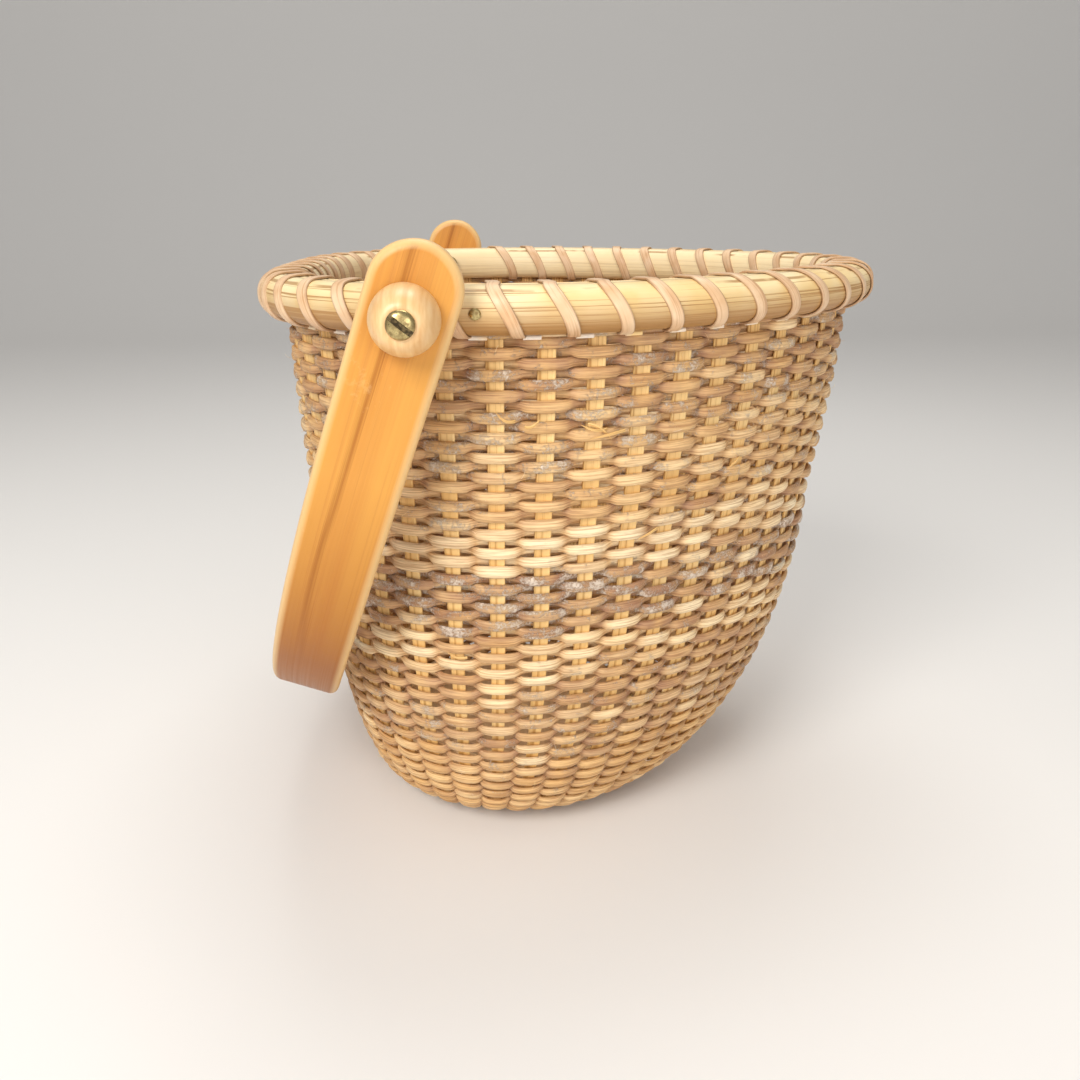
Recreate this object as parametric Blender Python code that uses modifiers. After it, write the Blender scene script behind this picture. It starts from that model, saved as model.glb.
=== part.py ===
"""Swing-handled oval basket: a wooden base, cane woven on splint staves, a lashed half-round rim,
and a bent-wood bail that turns on two brass bolts with turned wooden knobs.

Frame: +Z up, Z = 0 on the floor under the base. The bail's pivot line runs along Y.
"""

import bisect
import math

import bmesh
import bpy
from mathutils import Vector

MM = 0.001

# Plan of the wall's outer face at the rim, as a radius round the middle of the basket
plan_radius = 95.0 * MM
oval_share = -0.046
corner_share = 0.072
rim_shift = 14.0 * MM
# Profile of the wall, from the top of the rim down to the base
straight_drop = 74.0 * MM
turn_drop = 101.5 * MM
taper_in = 5.3 * MM
taper_power_share = 1.5
turn_power_share = 1.21
# Wooden base
base_half_x = 46.0 * MM
base_half_y = 52.0 * MM
base_thickness = 9.4 * MM
base_chamfer = 1.0 * MM
groove_depth = 3.8 * MM
weave_lift = 2.4 * MM
plug_radius = 6.0 * MM
plug_height = 5.0 * MM
plug_proud = 1.2 * MM
plug_lip = 1.2 * MM
# Weave and staves
weave_thickness = 1.6 * MM
wall_parting_share = 3 / 7
start_rows_share = 5 / 7
stave_count = 45
stave_gap = 0.4 * MM
stave_thickness = 1.4 * MM
stave_width = 4.8 * MM
stave_foot_width = 3.2 * MM
foot_ring_width = 1.6 * MM
foot_ring_inset = 0.3 * MM
# Rim
hoop_height = 12.7 * MM
outer_hoop_bulge = 6.9 * MM
inner_hoop_bulge = 4.6 * MM
filler_height = 2.4 * MM
filler_corner = 0.7 * MM
lash_width = 3.8 * MM
lash_thickness = 0.8 * MM
# Bail handle
pivot_gap = 14
strap_width = 23.0 * MM
strap_arch_width = 20.0 * MM
strap_thickness = 6.0 * MM
strap_edge = 1.8 * MM
strap_overhang = 18.2 * MM
leg_length = 29.0 * MM
arch_corner = 111.0 * MM
rest_degrees = 19.5
# Pivot hardware
bolt_radius = 1.6 * MM
bolt_head_radius = 3.2 * MM
bolt_head_height = 1.8 * MM
slot_width = 0.9 * MM
slot_depth = 0.9 * MM
slot_degrees = -39.0
bolt_end_proud = 0.9 * MM
burr_radius = 3.9 * MM
burr_thickness = 1.1 * MM
burr_play = 0.9 * MM
knob_radius = 8.4 * MM
knob_land = 3.4 * MM
knob_height = 12.0 * MM
knob_foot = 1.6 * MM
knob_undercut = 0.7 * MM
spacer_radius = 4.5 * MM
# Rim nails
near_nail_offset = 15.8 * MM
far_nail_offset = 9.5 * MM
nail_head_radius = 1.5 * MM
nail_head_height = 0.7 * MM
nail_shank_radius = 0.6 * MM
nail_length = 4.6 * MM

seat_gap = 0.3 * MM
sweep_gap = 0.6 * MM
cut_overrun = 3.0 * MM
axis_merge_share = 0.00001
nudge_share = 0.001
crease_degrees = 35.0
columns = 60
steps_arc = 1440
steps_straight = 2
steps_turn = 7
steps_corner = 14
steps_tip = 5
steps_turned = 24
steps_dome = 6

rim_top = weave_lift + straight_drop + turn_drop
rim_bottom = rim_top - hoop_height
pivot_z = rim_top - hoop_height / 2
wall_top = rim_bottom - lash_thickness - 2 * seat_gap
slot_top = rim_top - filler_height - seat_gap
stave_inset = weave_thickness + stave_gap
outer_hoop_back = -seat_gap
outer_hoop_crown = outer_hoop_back - outer_hoop_bulge
inner_hoop_back = stave_inset + stave_thickness + stave_gap
inner_hoop_crown = inner_hoop_back + inner_hoop_bulge
groove_low = weave_lift - seat_gap
groove_high = weave_lift + stave_inset + stave_thickness + seat_gap


def plan_reach(angle):
    """Radius of the plan line: nearly round, flatter at the back, fuller beside the pivots."""
    return plan_radius * (1 + oval_share * math.cos(2 * angle) + corner_share * math.cos(3 * angle))


def base_reach(angle):
    across = base_half_y * math.cos(angle)
    along = base_half_x * math.sin(angle)
    return base_half_x * base_half_y / math.hypot(across, along)


def polar(angle, reach, z, shift=0):
    return Vector((shift + reach * math.cos(angle), reach * math.sin(angle), z))


def plan_point(angle, inset, z):
    return polar(angle, plan_reach(angle) - inset, z, rim_shift)


def arc_lengths():
    """Distance along the plan line from the front to each of many equal turns of angle."""
    points = [plan_point(math.tau * k / steps_arc, 0, 0) for k in range(steps_arc + 1)]
    lengths = [0.0]
    for here, there in zip(points, points[1:]):
        lengths.append(lengths[-1] + (there - here).length)
    return lengths


arc_table = arc_lengths()


def angle_at(share):
    """Angle where this share of the plan line has gone by, counted from the front."""
    target = (share % 1) * arc_table[-1]
    step = min(bisect.bisect_right(arc_table, target), steps_arc) - 1
    part = (target - arc_table[step]) / (arc_table[step + 1] - arc_table[step])
    return math.tau * (step + part) / steps_arc


column_angles = [angle_at(k / columns) for k in range(columns)]
pivot_x = plan_point(angle_at(pivot_gap / stave_count), outer_hoop_back, 0).x


def wall_profile(place):
    """Share of the way in from the rim to the base, and the drop. Place runs from 0 to 2."""
    turn_in = plan_radius - base_half_y - taper_in
    if place < 1:
        drop = straight_drop * place
        run = max(0.0, drop - hoop_height) / (straight_drop - hoop_height)
        inward = taper_in * run**taper_power_share
    else:
        turn = math.pi / 2 * (place - 1)
        drop = straight_drop + turn_drop * math.sin(turn) ** turn_power_share
        inward = taper_in + turn_in * (1 - math.cos(turn))
    return inward / (taper_in + turn_in), drop


def wall_section(angle, place):
    """Radius, height and shift of the wall's outer face. The middle of the basket leans from the base."""
    share, drop = wall_profile(place)
    reach = plan_reach(angle) * (1 - share) + base_reach(angle) * share
    return reach, rim_top - drop, rim_shift * (1 - share)


def wall_point(angle, place, inset):
    """Point at this depth behind the wall's outer face, square to the profile."""
    reach, z, shift = wall_section(angle, place)
    above = wall_section(angle, place - nudge_share)
    below = wall_section(angle, min(2.0, place + nudge_share))
    run_in = above[0] - below[0] + (above[2] - below[2]) * math.cos(angle)
    run_down = above[1] - below[1]
    length = math.hypot(run_in, run_down)
    return polar(angle, reach - inset * run_down / length, z + inset * run_in / length, shift)


def seat_point(angle, inset):
    """Point where the weave ends, lying level in the groove of the base."""
    return polar(angle, base_reach(angle) - groove_depth + seat_gap, weave_lift + inset)


def place_below(place, distance):
    """Place this far down the profile at the front of the basket."""
    here = wall_point(0, place, 0)
    speed = (wall_point(0, place + nudge_share, 0) - here).length / nudge_share
    return place + distance / speed


def wall_places():
    """Places of the rings down the wall, from under the rim to the edge of the base."""
    first = (rim_top - wall_top) / straight_drop
    straight = [first + (1 - first) * k / steps_straight for k in range(steps_straight)]
    return straight + [1 + k / steps_turn for k in range(steps_turn + 1)]


def rim_face(x, inset):
    """Point and outward direction on the far side of a faceted hoop where it reaches x."""
    corners = [plan_point(a, inset, pivot_z) for a in column_angles]
    for a, b in zip(corners, corners[1:]):
        if a.y > 0 and b.x <= x < a.x:
            along = (b - a).normalized()
            return a.lerp(b, (a.x - x) / (a.x - b.x)), Vector((along.y, -along.x, 0))


def hollow_face(x, inset, radius):
    """Point and outward direction of a flat disc that rests inside a hoop's curve."""
    a, b = rim_face(x + radius, inset)[0], rim_face(x - radius, inset)[0]
    along = (b - a).normalized()
    return a.lerp(b, (a.x - x) / (a.x - b.x)), Vector((along.y, -along.x, 0))


widest_y = max(plan_point(math.tau * k / steps_arc, outer_hoop_crown, 0).y for k in range(steps_arc))
strap_inner_y = widest_y + seat_gap + lash_thickness + sweep_gap
strap_outer_y = strap_inner_y + strap_thickness


def new_collection(name, hidden=False):
    collection = bpy.data.collections.new(name)
    bpy.context.scene.collection.children.link(collection)
    collection.hide_render = hidden
    return collection


def new_material(name, color, roughness, metallic=0.0):
    material = bpy.data.materials.new(name)
    material.use_nodes = True
    shader = material.node_tree.nodes["Principled BSDF"]
    shader.inputs["Base Color"].default_value = (*color, 1)
    shader.inputs["Roughness"].default_value = roughness
    shader.inputs["Metallic"].default_value = metallic
    return material


for old in list(bpy.data.objects):
    bpy.data.objects.remove(old, do_unlink=True)

basket = new_collection("nantucket_basket")
cutters = new_collection("cutters", hidden=True)
maple = new_material("maple", (0.79, 0.52, 0.24), 0.4)
base_wood = new_material("base_wood", (0.56, 0.35, 0.18), 0.45)
splint = new_material("splint", (0.79, 0.58, 0.28), 0.5)
weaver_cane = new_material("weaver_cane", (0.72, 0.52, 0.36), 0.6)
start_cane = new_material("start_cane", (0.76, 0.58, 0.34), 0.6)
rattan = new_material("rattan", (0.78, 0.57, 0.27), 0.45)
binding_cane = new_material("binding_cane", (0.73, 0.50, 0.34), 0.45)
brass = new_material("brass", (0.60, 0.50, 0.27), 0.35, 1.0)


def add_object(name, mesh, material, collection=basket):
    obj = bpy.data.objects.new(name, mesh)
    collection.objects.link(obj)
    if material is not None:
        mesh.materials.append(material)
    return obj


def add_shape(name, build, material, collection=basket, keep_facing=False):
    """Makes an object from what build adds to an empty shape, with its faces turned outwards."""
    mesh = bpy.data.meshes.new(name)
    shape = bmesh.new()
    build(shape)
    if not keep_facing:
        bmesh.ops.recalc_face_normals(shape, faces=shape.faces)
    shape.to_mesh(mesh)
    shape.free()
    mesh.shade_smooth()
    mesh.set_sharp_from_angle(angle=math.radians(crease_degrees))
    return add_object(name, mesh, material, collection)


def loft(shape, rings, looped=False):
    """Skins a row of like rings. A looped row closes on itself, any other is capped."""
    rows = [[shape.verts.new(point) for point in ring] for ring in rings]
    spans = list(zip(rows, rows[1:]))
    if looped:
        spans.append((rows[-1], rows[0]))
    for ring, following in spans:
        for k in range(len(ring)):
            j = (k + 1) % len(ring)
            shape.faces.new((ring[k], ring[j], following[j], following[k]))
    if not looped:
        shape.faces.new(rows[0])
        shape.faces.new(rows[-1])


def add_hoop(name, section, material):
    """A closed hoop: one section, as pairs of inset and height, at every column of the plan."""

    def build(shape):
        rings = [[plan_point(a, inset, z) for inset, z in section] for a in column_angles]
        loft(shape, rings, looped=True)

    return add_shape(name, build, material)


def half_round(back, bulge, facets):
    """Section of a hoop from its bottom edge round a crown with a flat land to its top edge."""
    points = []
    for k in range(facets + 1):
        turn = math.pi * (k / facets - 1 / 2)
        swell = math.cos(turn) / math.cos(math.pi / facets / 2)
        points.append((back + bulge * swell, pivot_z + hoop_height / 2 * math.sin(turn)))
    return points


def add_turned(name, profile, material, collection=basket, closed=False):
    """A turned piece: a profile that runs down its outer side, screwed once round Z."""

    def build(shape):
        points = [shape.verts.new((r, 0, z)) for r, z in profile]
        ends = points[1:] + points[:1] if closed else points[1:]
        for a, b in zip(points, ends):
            shape.edges.new((a, b))

    obj = add_shape(name, build, material, collection, keep_facing=True)
    screw = obj.modifiers.new("turn", "SCREW")
    screw.steps = screw.render_steps = steps_turned
    screw.use_merge_vertices = True
    screw.merge_threshold = axis_merge_share
    screw.use_smooth_shade = True
    return obj


def facing(direction):
    """Rotation that turns a piece made along +Z to this direction."""
    return direction.to_track_quat("Z", "Y").to_euler()


def as_cutter(obj):
    obj.hide_render = True
    obj.display_type = "WIRE"
    return obj


def add_drill(name, radius, length, location, direction):
    """A cylinder cutter, centred on its location."""

    def build(shape):
        bmesh.ops.create_cone(
            shape, cap_ends=True, segments=steps_turned, radius1=radius, radius2=radius, depth=length
        )

    drill = add_shape(name, build, None, cutters)
    drill.location = location
    drill.rotation_euler = facing(direction)
    return as_cutter(drill)


def cut(obj, cutter, operation="DIFFERENCE"):
    boolean = obj.modifiers.new(cutter.name, "BOOLEAN")
    boolean.operation = operation
    boolean.solver = "EXACT"
    boolean.object = cutter


def make_base():
    """Oval board with a groove round its edge for the stave ends, and a plug in its middle."""
    section = [
        (base_chamfer, 0),
        (0, base_chamfer),
        (0, groove_low),
        (groove_depth, groove_low),
        (groove_depth, groove_high),
        (0, groove_high),
        (0, base_thickness - base_chamfer),
        (base_chamfer, base_thickness),
    ]

    def build(shape):
        rings = [[polar(a, base_reach(a) - inset, z) for a in column_angles] for inset, z in section]
        loft(shape, rings)

    board = add_shape("base_board", build, base_wood)
    socket_depth = plug_height - plug_proud + seat_gap
    socket_length = socket_depth + cut_overrun
    socket_middle = Vector((0, 0, base_thickness - socket_depth + socket_length / 2))
    socket_radius = plug_radius + seat_gap
    cut(board, add_drill("plug_socket", socket_radius, socket_length, socket_middle, Vector((0, 0, 1))))
    plug = add_turned(
        "base_plug",
        [
            (0, plug_height),
            (plug_radius - plug_lip, plug_height),
            (plug_radius, plug_height - plug_lip),
            (plug_radius, 0),
            (0, 0),
        ],
        maple,
    )
    plug.location = (0, 0, base_thickness + plug_proud - plug_height)


def weave_skin(name, places, seated, material):
    """A closed skin of weave between the first and last place, seated in the groove or not."""

    def face(inset):
        rings = [[wall_point(a, place, inset) for a in column_angles] for place in places]
        if seated:
            rings.append([seat_point(a, inset) for a in column_angles])
        return rings

    def build(shape):
        loft(shape, face(0) + face(weave_thickness)[::-1], looped=True)

    add_shape(name, build, material)


def make_weave():
    """The wall's weave in three bands, and the finer rows that start it off round the base."""
    places = wall_places()
    partings = [1, 1 + wall_parting_share, 1 + start_rows_share]
    first = places[0]
    for name, last in zip(("woven_wall", "turned_wall", "lower_wall"), partings):
        band = [first] + [place for place in places if first + nudge_share < place < last + nudge_share]
        weave_skin(name, band, False, weaver_cane)
        first = place_below(last, seat_gap)
    band = [first] + [place for place in places if place > first + nudge_share]
    weave_skin("start_rows", band, True, start_cane)


def stave_ring(angle, width, point):
    """Section of a stave across its middle line; point gives its place at an angle and inset."""
    ring = []
    inner_inset = stave_inset + stave_thickness
    for side, inset in ((-1, stave_inset), (1, stave_inset), (1, inner_inset), (-1, inner_inset)):
        run = (point(angle + nudge_share, inset) - point(angle, inset)).length
        swing = width / 2 / run * nudge_share
        ring.append(point(angle + side * swing, inset))
    return ring


def make_staves():
    """Splints from the base, up inside the weave, to between the hoops.

    A thin ring joins their feet, deep in the groove of the base.
    """
    whole_drop = straight_drop + turn_drop

    def build(shape):
        for number in range(stave_count):
            angle = angle_at((number + 1 / 2) / stave_count)
            rings = [stave_ring(angle, stave_width, lambda a, inset: plan_point(a, inset, slot_top))]
            for place in wall_places():
                narrowing = (wall_profile(place)[1] / whole_drop) ** 2
                width = stave_width + (stave_foot_width - stave_width) * narrowing
                rings.append(stave_ring(angle, width, lambda a, inset: wall_point(a, place, inset)))
            rings.append(stave_ring(angle, stave_foot_width, seat_point))
            loft(shape, rings)

    def build_ring(shape):
        low = weave_lift + stave_inset + foot_ring_inset
        high = weave_lift + stave_inset + stave_thickness - foot_ring_inset
        far_side = groove_depth - seat_gap - foot_ring_inset
        near_side = far_side - foot_ring_width
        section = ((near_side, low), (near_side, high), (far_side, high), (far_side, low))
        rings = [[polar(a, base_reach(a) - depth, z) for depth, z in section] for a in column_angles]
        loft(shape, rings, looped=True)

    ring = as_cutter(add_shape("foot_ring", build_ring, None, cutters))
    cut(add_shape("staves", build, splint), ring, "UNION")


def make_rim():
    """Two half-round hoops with the last rows and a filler strip between them."""
    outer = add_hoop("outer_hoop", half_round(outer_hoop_back, -outer_hoop_bulge, 5), rattan)
    inner = add_hoop("inner_hoop", half_round(inner_hoop_back, inner_hoop_bulge, 3), rattan)
    band = add_hoop(
        "rim_band",
        [(0, rim_bottom), (0, slot_top), (weave_thickness, slot_top), (weave_thickness, rim_bottom)],
        weaver_cane,
    )
    near_side = outer_hoop_back + seat_gap
    far_side = inner_hoop_back - seat_gap
    low, high = slot_top + seat_gap, rim_top
    add_hoop(
        "rim_filler",
        [
            (near_side, low),
            (near_side, high - filler_corner),
            (near_side + filler_corner, high),
            (far_side - filler_corner, high),
            (far_side, high - filler_corner),
            (far_side, low),
        ],
        rattan,
    )
    return outer, inner, band


def offset_loop(loop, distance):
    """The loop with each side moved out square to itself."""
    moved = []
    for k in range(len(loop)):
        here = Vector(loop[k])
        before = (here - Vector(loop[k - 1])).normalized()
        after = (Vector(loop[(k + 1) % len(loop)]) - here).normalized()
        out = Vector((-before.y - after.y, before.x + after.x))
        moved.append(here + out * distance / (1 + before.dot(after)))
    return moved


def make_lashing(name, first, last):
    """One run of flat cane, wound between the staves from the first gap back to the last."""
    outside = half_round(outer_hoop_back, -outer_hoop_bulge, 5)
    inside = half_round(inner_hoop_back, inner_hoop_bulge, 3)
    route = outside + inside[::-1]
    low_face = offset_loop(route, seat_gap)
    high_face = offset_loop(route, seat_gap + lash_thickness)

    def corner(gap, spot, side):
        angle = angle_at(gap / stave_count)
        return plan_point(angle + side * lash_width / 2 / plan_reach(angle), spot.x, spot.y)

    def build(shape):
        rings = []
        for gap in range(first, last - 1, -1):
            for k, (low, high) in enumerate(zip(low_face, high_face)):
                rise = (route[k][1] - rim_bottom) / hoop_height / 2
                gone_by = rise if k < len(outside) else 1 - rise
                if gap == last and k == len(outside):
                    break
                pairs = ((low, -1), (low, 1), (high, 1), (high, -1))
                rings.append([corner(gap - gone_by, spot, side) for spot, side in pairs])
        loft(shape, rings)

    add_shape(name, build, binding_cane)


def strap_ring(out_y, width, middle_y, middle_z, turn):
    """Section of the bail: width along X, thickness along the turned outward direction."""
    edge = min(strap_edge, width / 3)
    half_width, half_thick = width / 2 - edge, strap_thickness / 2 - edge
    ring = []
    for quarter, (side, face) in enumerate(((1, 1), (-1, 1), (-1, -1), (1, -1))):
        for k in range(3):
            sweep = math.pi / 2 * (quarter + k / 2)
            x = side * half_width + edge * math.cos(sweep)
            out = face * half_thick + edge * math.sin(sweep)
            ring.append((x, out_y * (middle_y + out * math.cos(turn)), middle_z - out * math.sin(turn)))
    return ring


def make_handle():
    """The bail: two straight legs with rounded tips, and an arch with wide corners."""
    tip_radius = strap_width / 2
    leg_y = (strap_inner_y + strap_outer_y) / 2
    reach = leg_length + arch_corner
    half = []
    for k in range(steps_tip + 1):
        turn = math.pi / 2 * (1 - (k + 1 / 2) / (steps_tip + 1 / 2))
        z = strap_overhang - tip_radius * (1 - math.sin(turn))
        half.append((strap_width * math.cos(turn), leg_y, z, 0))
    for k in range(steps_corner + 1):
        turn = math.pi / 2 * k / steps_corner
        y = leg_y - arch_corner * (1 - math.cos(turn))
        z = -leg_length - arch_corner * math.sin(turn)
        width = strap_width + (strap_arch_width - strap_width) * -z / reach
        half.append((width, y, z, turn))

    def build(shape):
        near = [strap_ring(-1, *spot) for spot in half]
        far = [strap_ring(1, *spot) for spot in half]
        loft(shape, near + far[::-1])

    handle = add_shape("handle", build, maple)
    handle.location = (pivot_x, 0, pivot_z)
    handle.rotation_euler = (0, math.radians(rest_degrees), 0)
    return handle


def make_spacer(name, side):
    """A turned washer with its inner end cut to the curve of the rim."""

    def build(shape):
        outer, inner = [], []
        for k in range(steps_turned):
            turn = math.tau * k / steps_turned
            x = pivot_x + spacer_radius * math.cos(turn)
            z = pivot_z + spacer_radius * math.sin(turn)
            seat = rim_face(x, outer_hoop_crown)[0].y + seat_gap
            outer.append((x, side * (strap_inner_y - seat_gap), z))
            inner.append((x, side * seat, z))
        loft(shape, [outer, inner])

    return add_shape(name, build, maple)


def make_knob(name, middle, direction):
    bore = bolt_radius + seat_gap
    profile = [(bore, knob_height)]
    for k in range(steps_dome + 1):
        turn = math.pi / 2 * k / steps_dome
        radius = knob_land + (knob_radius - knob_land) * math.sin(turn)
        profile.append((radius, knob_foot + (knob_height - knob_foot) * math.cos(turn)))
    profile += [(knob_radius - knob_undercut, 0), (bore, 0)]
    knob = add_turned(name, profile, maple, closed=True)
    knob.location = middle
    knob.rotation_euler = facing(direction)


def make_bolt(name, head_seat, direction, length):
    """Brass bolt with a slotted dome head, made with the head's underside at the seat."""
    profile = []
    for k in range(steps_dome + 1):
        turn = math.pi / 2 * k / steps_dome
        profile.append((bolt_head_radius * math.sin(turn), bolt_head_height * math.cos(turn)))
    profile += [(bolt_radius, 0), (bolt_radius, -length), (0, -length)]
    bolt = add_turned(name, profile, brass)
    bolt.location = head_seat
    bolt.rotation_euler = facing(direction)

    def build(shape):
        bmesh.ops.create_cube(shape, size=slot_width)
        slot_length = 2 * (bolt_head_radius + cut_overrun)
        slot_height = slot_depth + cut_overrun
        bmesh.ops.scale(
            shape, vec=(slot_length / slot_width, 1, slot_height / slot_width), verts=shape.verts
        )
        lift = bolt_head_height - slot_depth + slot_height / 2
        bmesh.ops.translate(shape, vec=(0, 0, lift), verts=shape.verts)

    slot = as_cutter(add_shape(name + "_slot", build, None, cutters))
    slot.parent = bolt
    slot.rotation_euler = (0, 0, math.radians(slot_degrees))
    cut(bolt, slot)


def make_burr(name, middle, direction):
    bore = bolt_radius + burr_play
    burr = add_turned(
        name,
        [(bore, burr_thickness), (burr_radius, burr_thickness), (burr_radius, 0), (bore, 0)],
        brass,
        closed=True,
    )
    burr.location = middle
    burr.rotation_euler = facing(direction)


def make_nail(name, middle, direction, hoop):
    """A small dome-headed nail in the crown of the outer hoop."""
    profile = []
    for k in range(steps_dome + 1):
        turn = math.pi / 2 * k / steps_dome
        profile.append((nail_head_radius * math.sin(turn), nail_head_height * math.cos(turn)))
    profile += [(nail_shank_radius, 0), (nail_shank_radius, -nail_length), (0, -nail_length)]
    nail = add_turned(name, profile, brass)
    nail.location = middle + direction * seat_gap
    nail.rotation_euler = facing(direction)
    depth = nail_length + cut_overrun
    start = middle + direction * (cut_overrun - depth / 2)
    cut(hoop, add_drill(name + "_hole", nail_shank_radius + seat_gap, depth, start, direction))


def mirrored(vector, side):
    return Vector((vector.x, side * vector.y, vector.z))


make_base()
make_weave()
make_staves()
outer_hoop, inner_hoop, rim_band = make_rim()
make_lashing("front_lashing", pivot_gap - 1, 1 - pivot_gap)
make_lashing("back_lashing", stave_count - pivot_gap - 1, pivot_gap + 1)
bail = make_handle()

pivot_bore = add_drill(
    "pivot_bore",
    bolt_radius + seat_gap,
    2 * (strap_outer_y + cut_overrun),
    Vector((pivot_x, 0, pivot_z)),
    Vector((0, 1, 0)),
)
for bored in (bail, outer_hoop, inner_hoop, rim_band):
    cut(bored, pivot_bore)

inner_face, inner_out = hollow_face(pivot_x, inner_hoop_crown, burr_radius)
knob_seat_y = strap_outer_y + seat_gap
head_seat_y = knob_seat_y + knob_height + seat_gap
bolt_end_y = inner_face.y - seat_gap - burr_thickness / inner_out.y - bolt_end_proud
for label, side, nail_offset in (("near", -1, near_nail_offset), ("far", 1, far_nail_offset)):
    outward = Vector((0, side, 0))
    cut(make_spacer(label + "_spacer", side), pivot_bore)
    make_knob(label + "_knob", Vector((pivot_x, side * knob_seat_y, pivot_z)), outward)
    make_bolt(
        label + "_bolt",
        Vector((pivot_x, side * head_seat_y, pivot_z)),
        outward,
        head_seat_y - bolt_end_y,
    )
    inward = mirrored(-inner_out, side)
    make_burr(label + "_burr", mirrored(inner_face, side) + inward * seat_gap, inward)
    nail_face, nail_out = rim_face(pivot_x + nail_offset, outer_hoop_crown)
    make_nail(label + "_nail", mirrored(nail_face, side), mirrored(nail_out, side), outer_hoop)
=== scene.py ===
"""Dresses a swing-handled basket: its cane weave, splints, lashed rim, bent handle and brass.

Laid out as an add-on and run as a script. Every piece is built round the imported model, in metres.
"""

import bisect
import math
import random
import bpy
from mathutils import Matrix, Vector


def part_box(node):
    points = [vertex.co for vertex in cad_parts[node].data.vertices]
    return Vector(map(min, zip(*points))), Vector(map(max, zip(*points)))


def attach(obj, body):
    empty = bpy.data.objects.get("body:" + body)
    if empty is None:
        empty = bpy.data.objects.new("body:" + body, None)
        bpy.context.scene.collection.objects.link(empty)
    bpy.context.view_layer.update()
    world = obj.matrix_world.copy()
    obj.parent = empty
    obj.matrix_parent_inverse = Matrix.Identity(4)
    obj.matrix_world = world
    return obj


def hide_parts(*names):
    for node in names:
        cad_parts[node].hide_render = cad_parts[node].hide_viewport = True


bl_info = {
    "name": "Woven Basket Dresser",
    "version": (1, 0, 0),
    "blender": (4, 5, 0),
    "location": "3D View > Sidebar > Basket",
    "description": "Builds the visible pieces of a swing-handled cane basket round its solids",
    "category": "Object",
}

import bmesh
import bpy
from mathutils import Euler, Matrix, Vector

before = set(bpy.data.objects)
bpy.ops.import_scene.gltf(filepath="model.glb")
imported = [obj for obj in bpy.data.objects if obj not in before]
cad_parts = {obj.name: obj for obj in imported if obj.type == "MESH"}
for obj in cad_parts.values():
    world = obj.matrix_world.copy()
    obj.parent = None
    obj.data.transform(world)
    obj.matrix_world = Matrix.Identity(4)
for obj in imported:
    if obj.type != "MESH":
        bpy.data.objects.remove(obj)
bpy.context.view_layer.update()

MM = 0.001

# Shape of the solids, as the weave, the rim and the handle follow it
PLAN_RADIUS = 95.0 * MM
OVAL_SHARE = -0.046
CORNER_SHARE = 0.072
RIM_SHIFT = 14.0 * MM
STRAIGHT_DROP = 74.0 * MM
TURN_DROP = 101.5 * MM
TAPER_IN = 5.3 * MM
TAPER_POWER = 1.5
TURN_POWER = 1.21
BASE_HALF_X = 46.0 * MM
BASE_HALF_Y = 52.0 * MM
BASE_THICKNESS = 9.4 * MM
GROOVE_DEPTH = 3.8 * MM
WEAVE_LIFT = 2.4 * MM
STAVES = 45
HOOP_HEIGHT = 12.7 * MM
HOOP_BACK = -0.3 * MM
OUTER_BULGE = 6.9 * MM
INNER_BULGE = 4.6 * MM
INNER_BACK = 3.8 * MM
PIVOT_GAP = 14
STRAP_THICKNESS = 6.0 * MM
STRAP_OVERHANG = 18.2 * MM
LEG_LENGTH = 29.0 * MM
ARCH_RADIUS = 111.0 * MM
LEG_Y = 112.82 * MM
REST_ANGLE = math.radians(19.5)
RIM_TOP = WEAVE_LIFT + STRAIGHT_DROP + TURN_DROP
RIM_BOTTOM = RIM_TOP - HOOP_HEIGHT
PIVOT_Z = RIM_TOP - HOOP_HEIGHT / 2
HOOP_SEEN = 12.2 * MM
HOOP_MIDDLE = RIM_TOP - HOOP_SEEN / 2
ARC_STEPS = 1440


# ---------------------------------------------------------------- shape of the basket


def plan_reach(angle):
    """Radius of the plan line at the rim."""
    return PLAN_RADIUS * (1 + OVAL_SHARE * math.cos(2 * angle) + CORNER_SHARE * math.cos(3 * angle))


def base_reach(angle):
    """Radius of the oval base."""
    return BASE_HALF_X * BASE_HALF_Y / math.hypot(BASE_HALF_Y * math.cos(angle), BASE_HALF_X * math.sin(angle))


def plan_point(angle, inset, z):
    """Point of the rim, this far inside the plan line."""
    reach = plan_reach(angle) - inset
    return Vector((RIM_SHIFT + reach * math.cos(angle), reach * math.sin(angle), z))


def arc_lengths():
    """Distance along the plan line from the front to each of many equal turns of angle."""
    lengths = [0.0]
    here = plan_point(0, 0, 0)
    for k in range(1, ARC_STEPS + 1):
        there = plan_point(math.tau * k / ARC_STEPS, 0, 0)
        lengths.append(lengths[-1] + (there - here).length)
        here = there
    return lengths


ARC_TABLE = arc_lengths()


def angle_at(stave):
    """Angle at this place along the plan line, counted in staves from the front."""
    target = (stave / STAVES % 1) * ARC_TABLE[-1]
    step = min(bisect.bisect_right(ARC_TABLE, target), ARC_STEPS) - 1
    part = (target - ARC_TABLE[step]) / (ARC_TABLE[step + 1] - ARC_TABLE[step])
    return math.tau * (step + part) / ARC_STEPS


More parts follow.
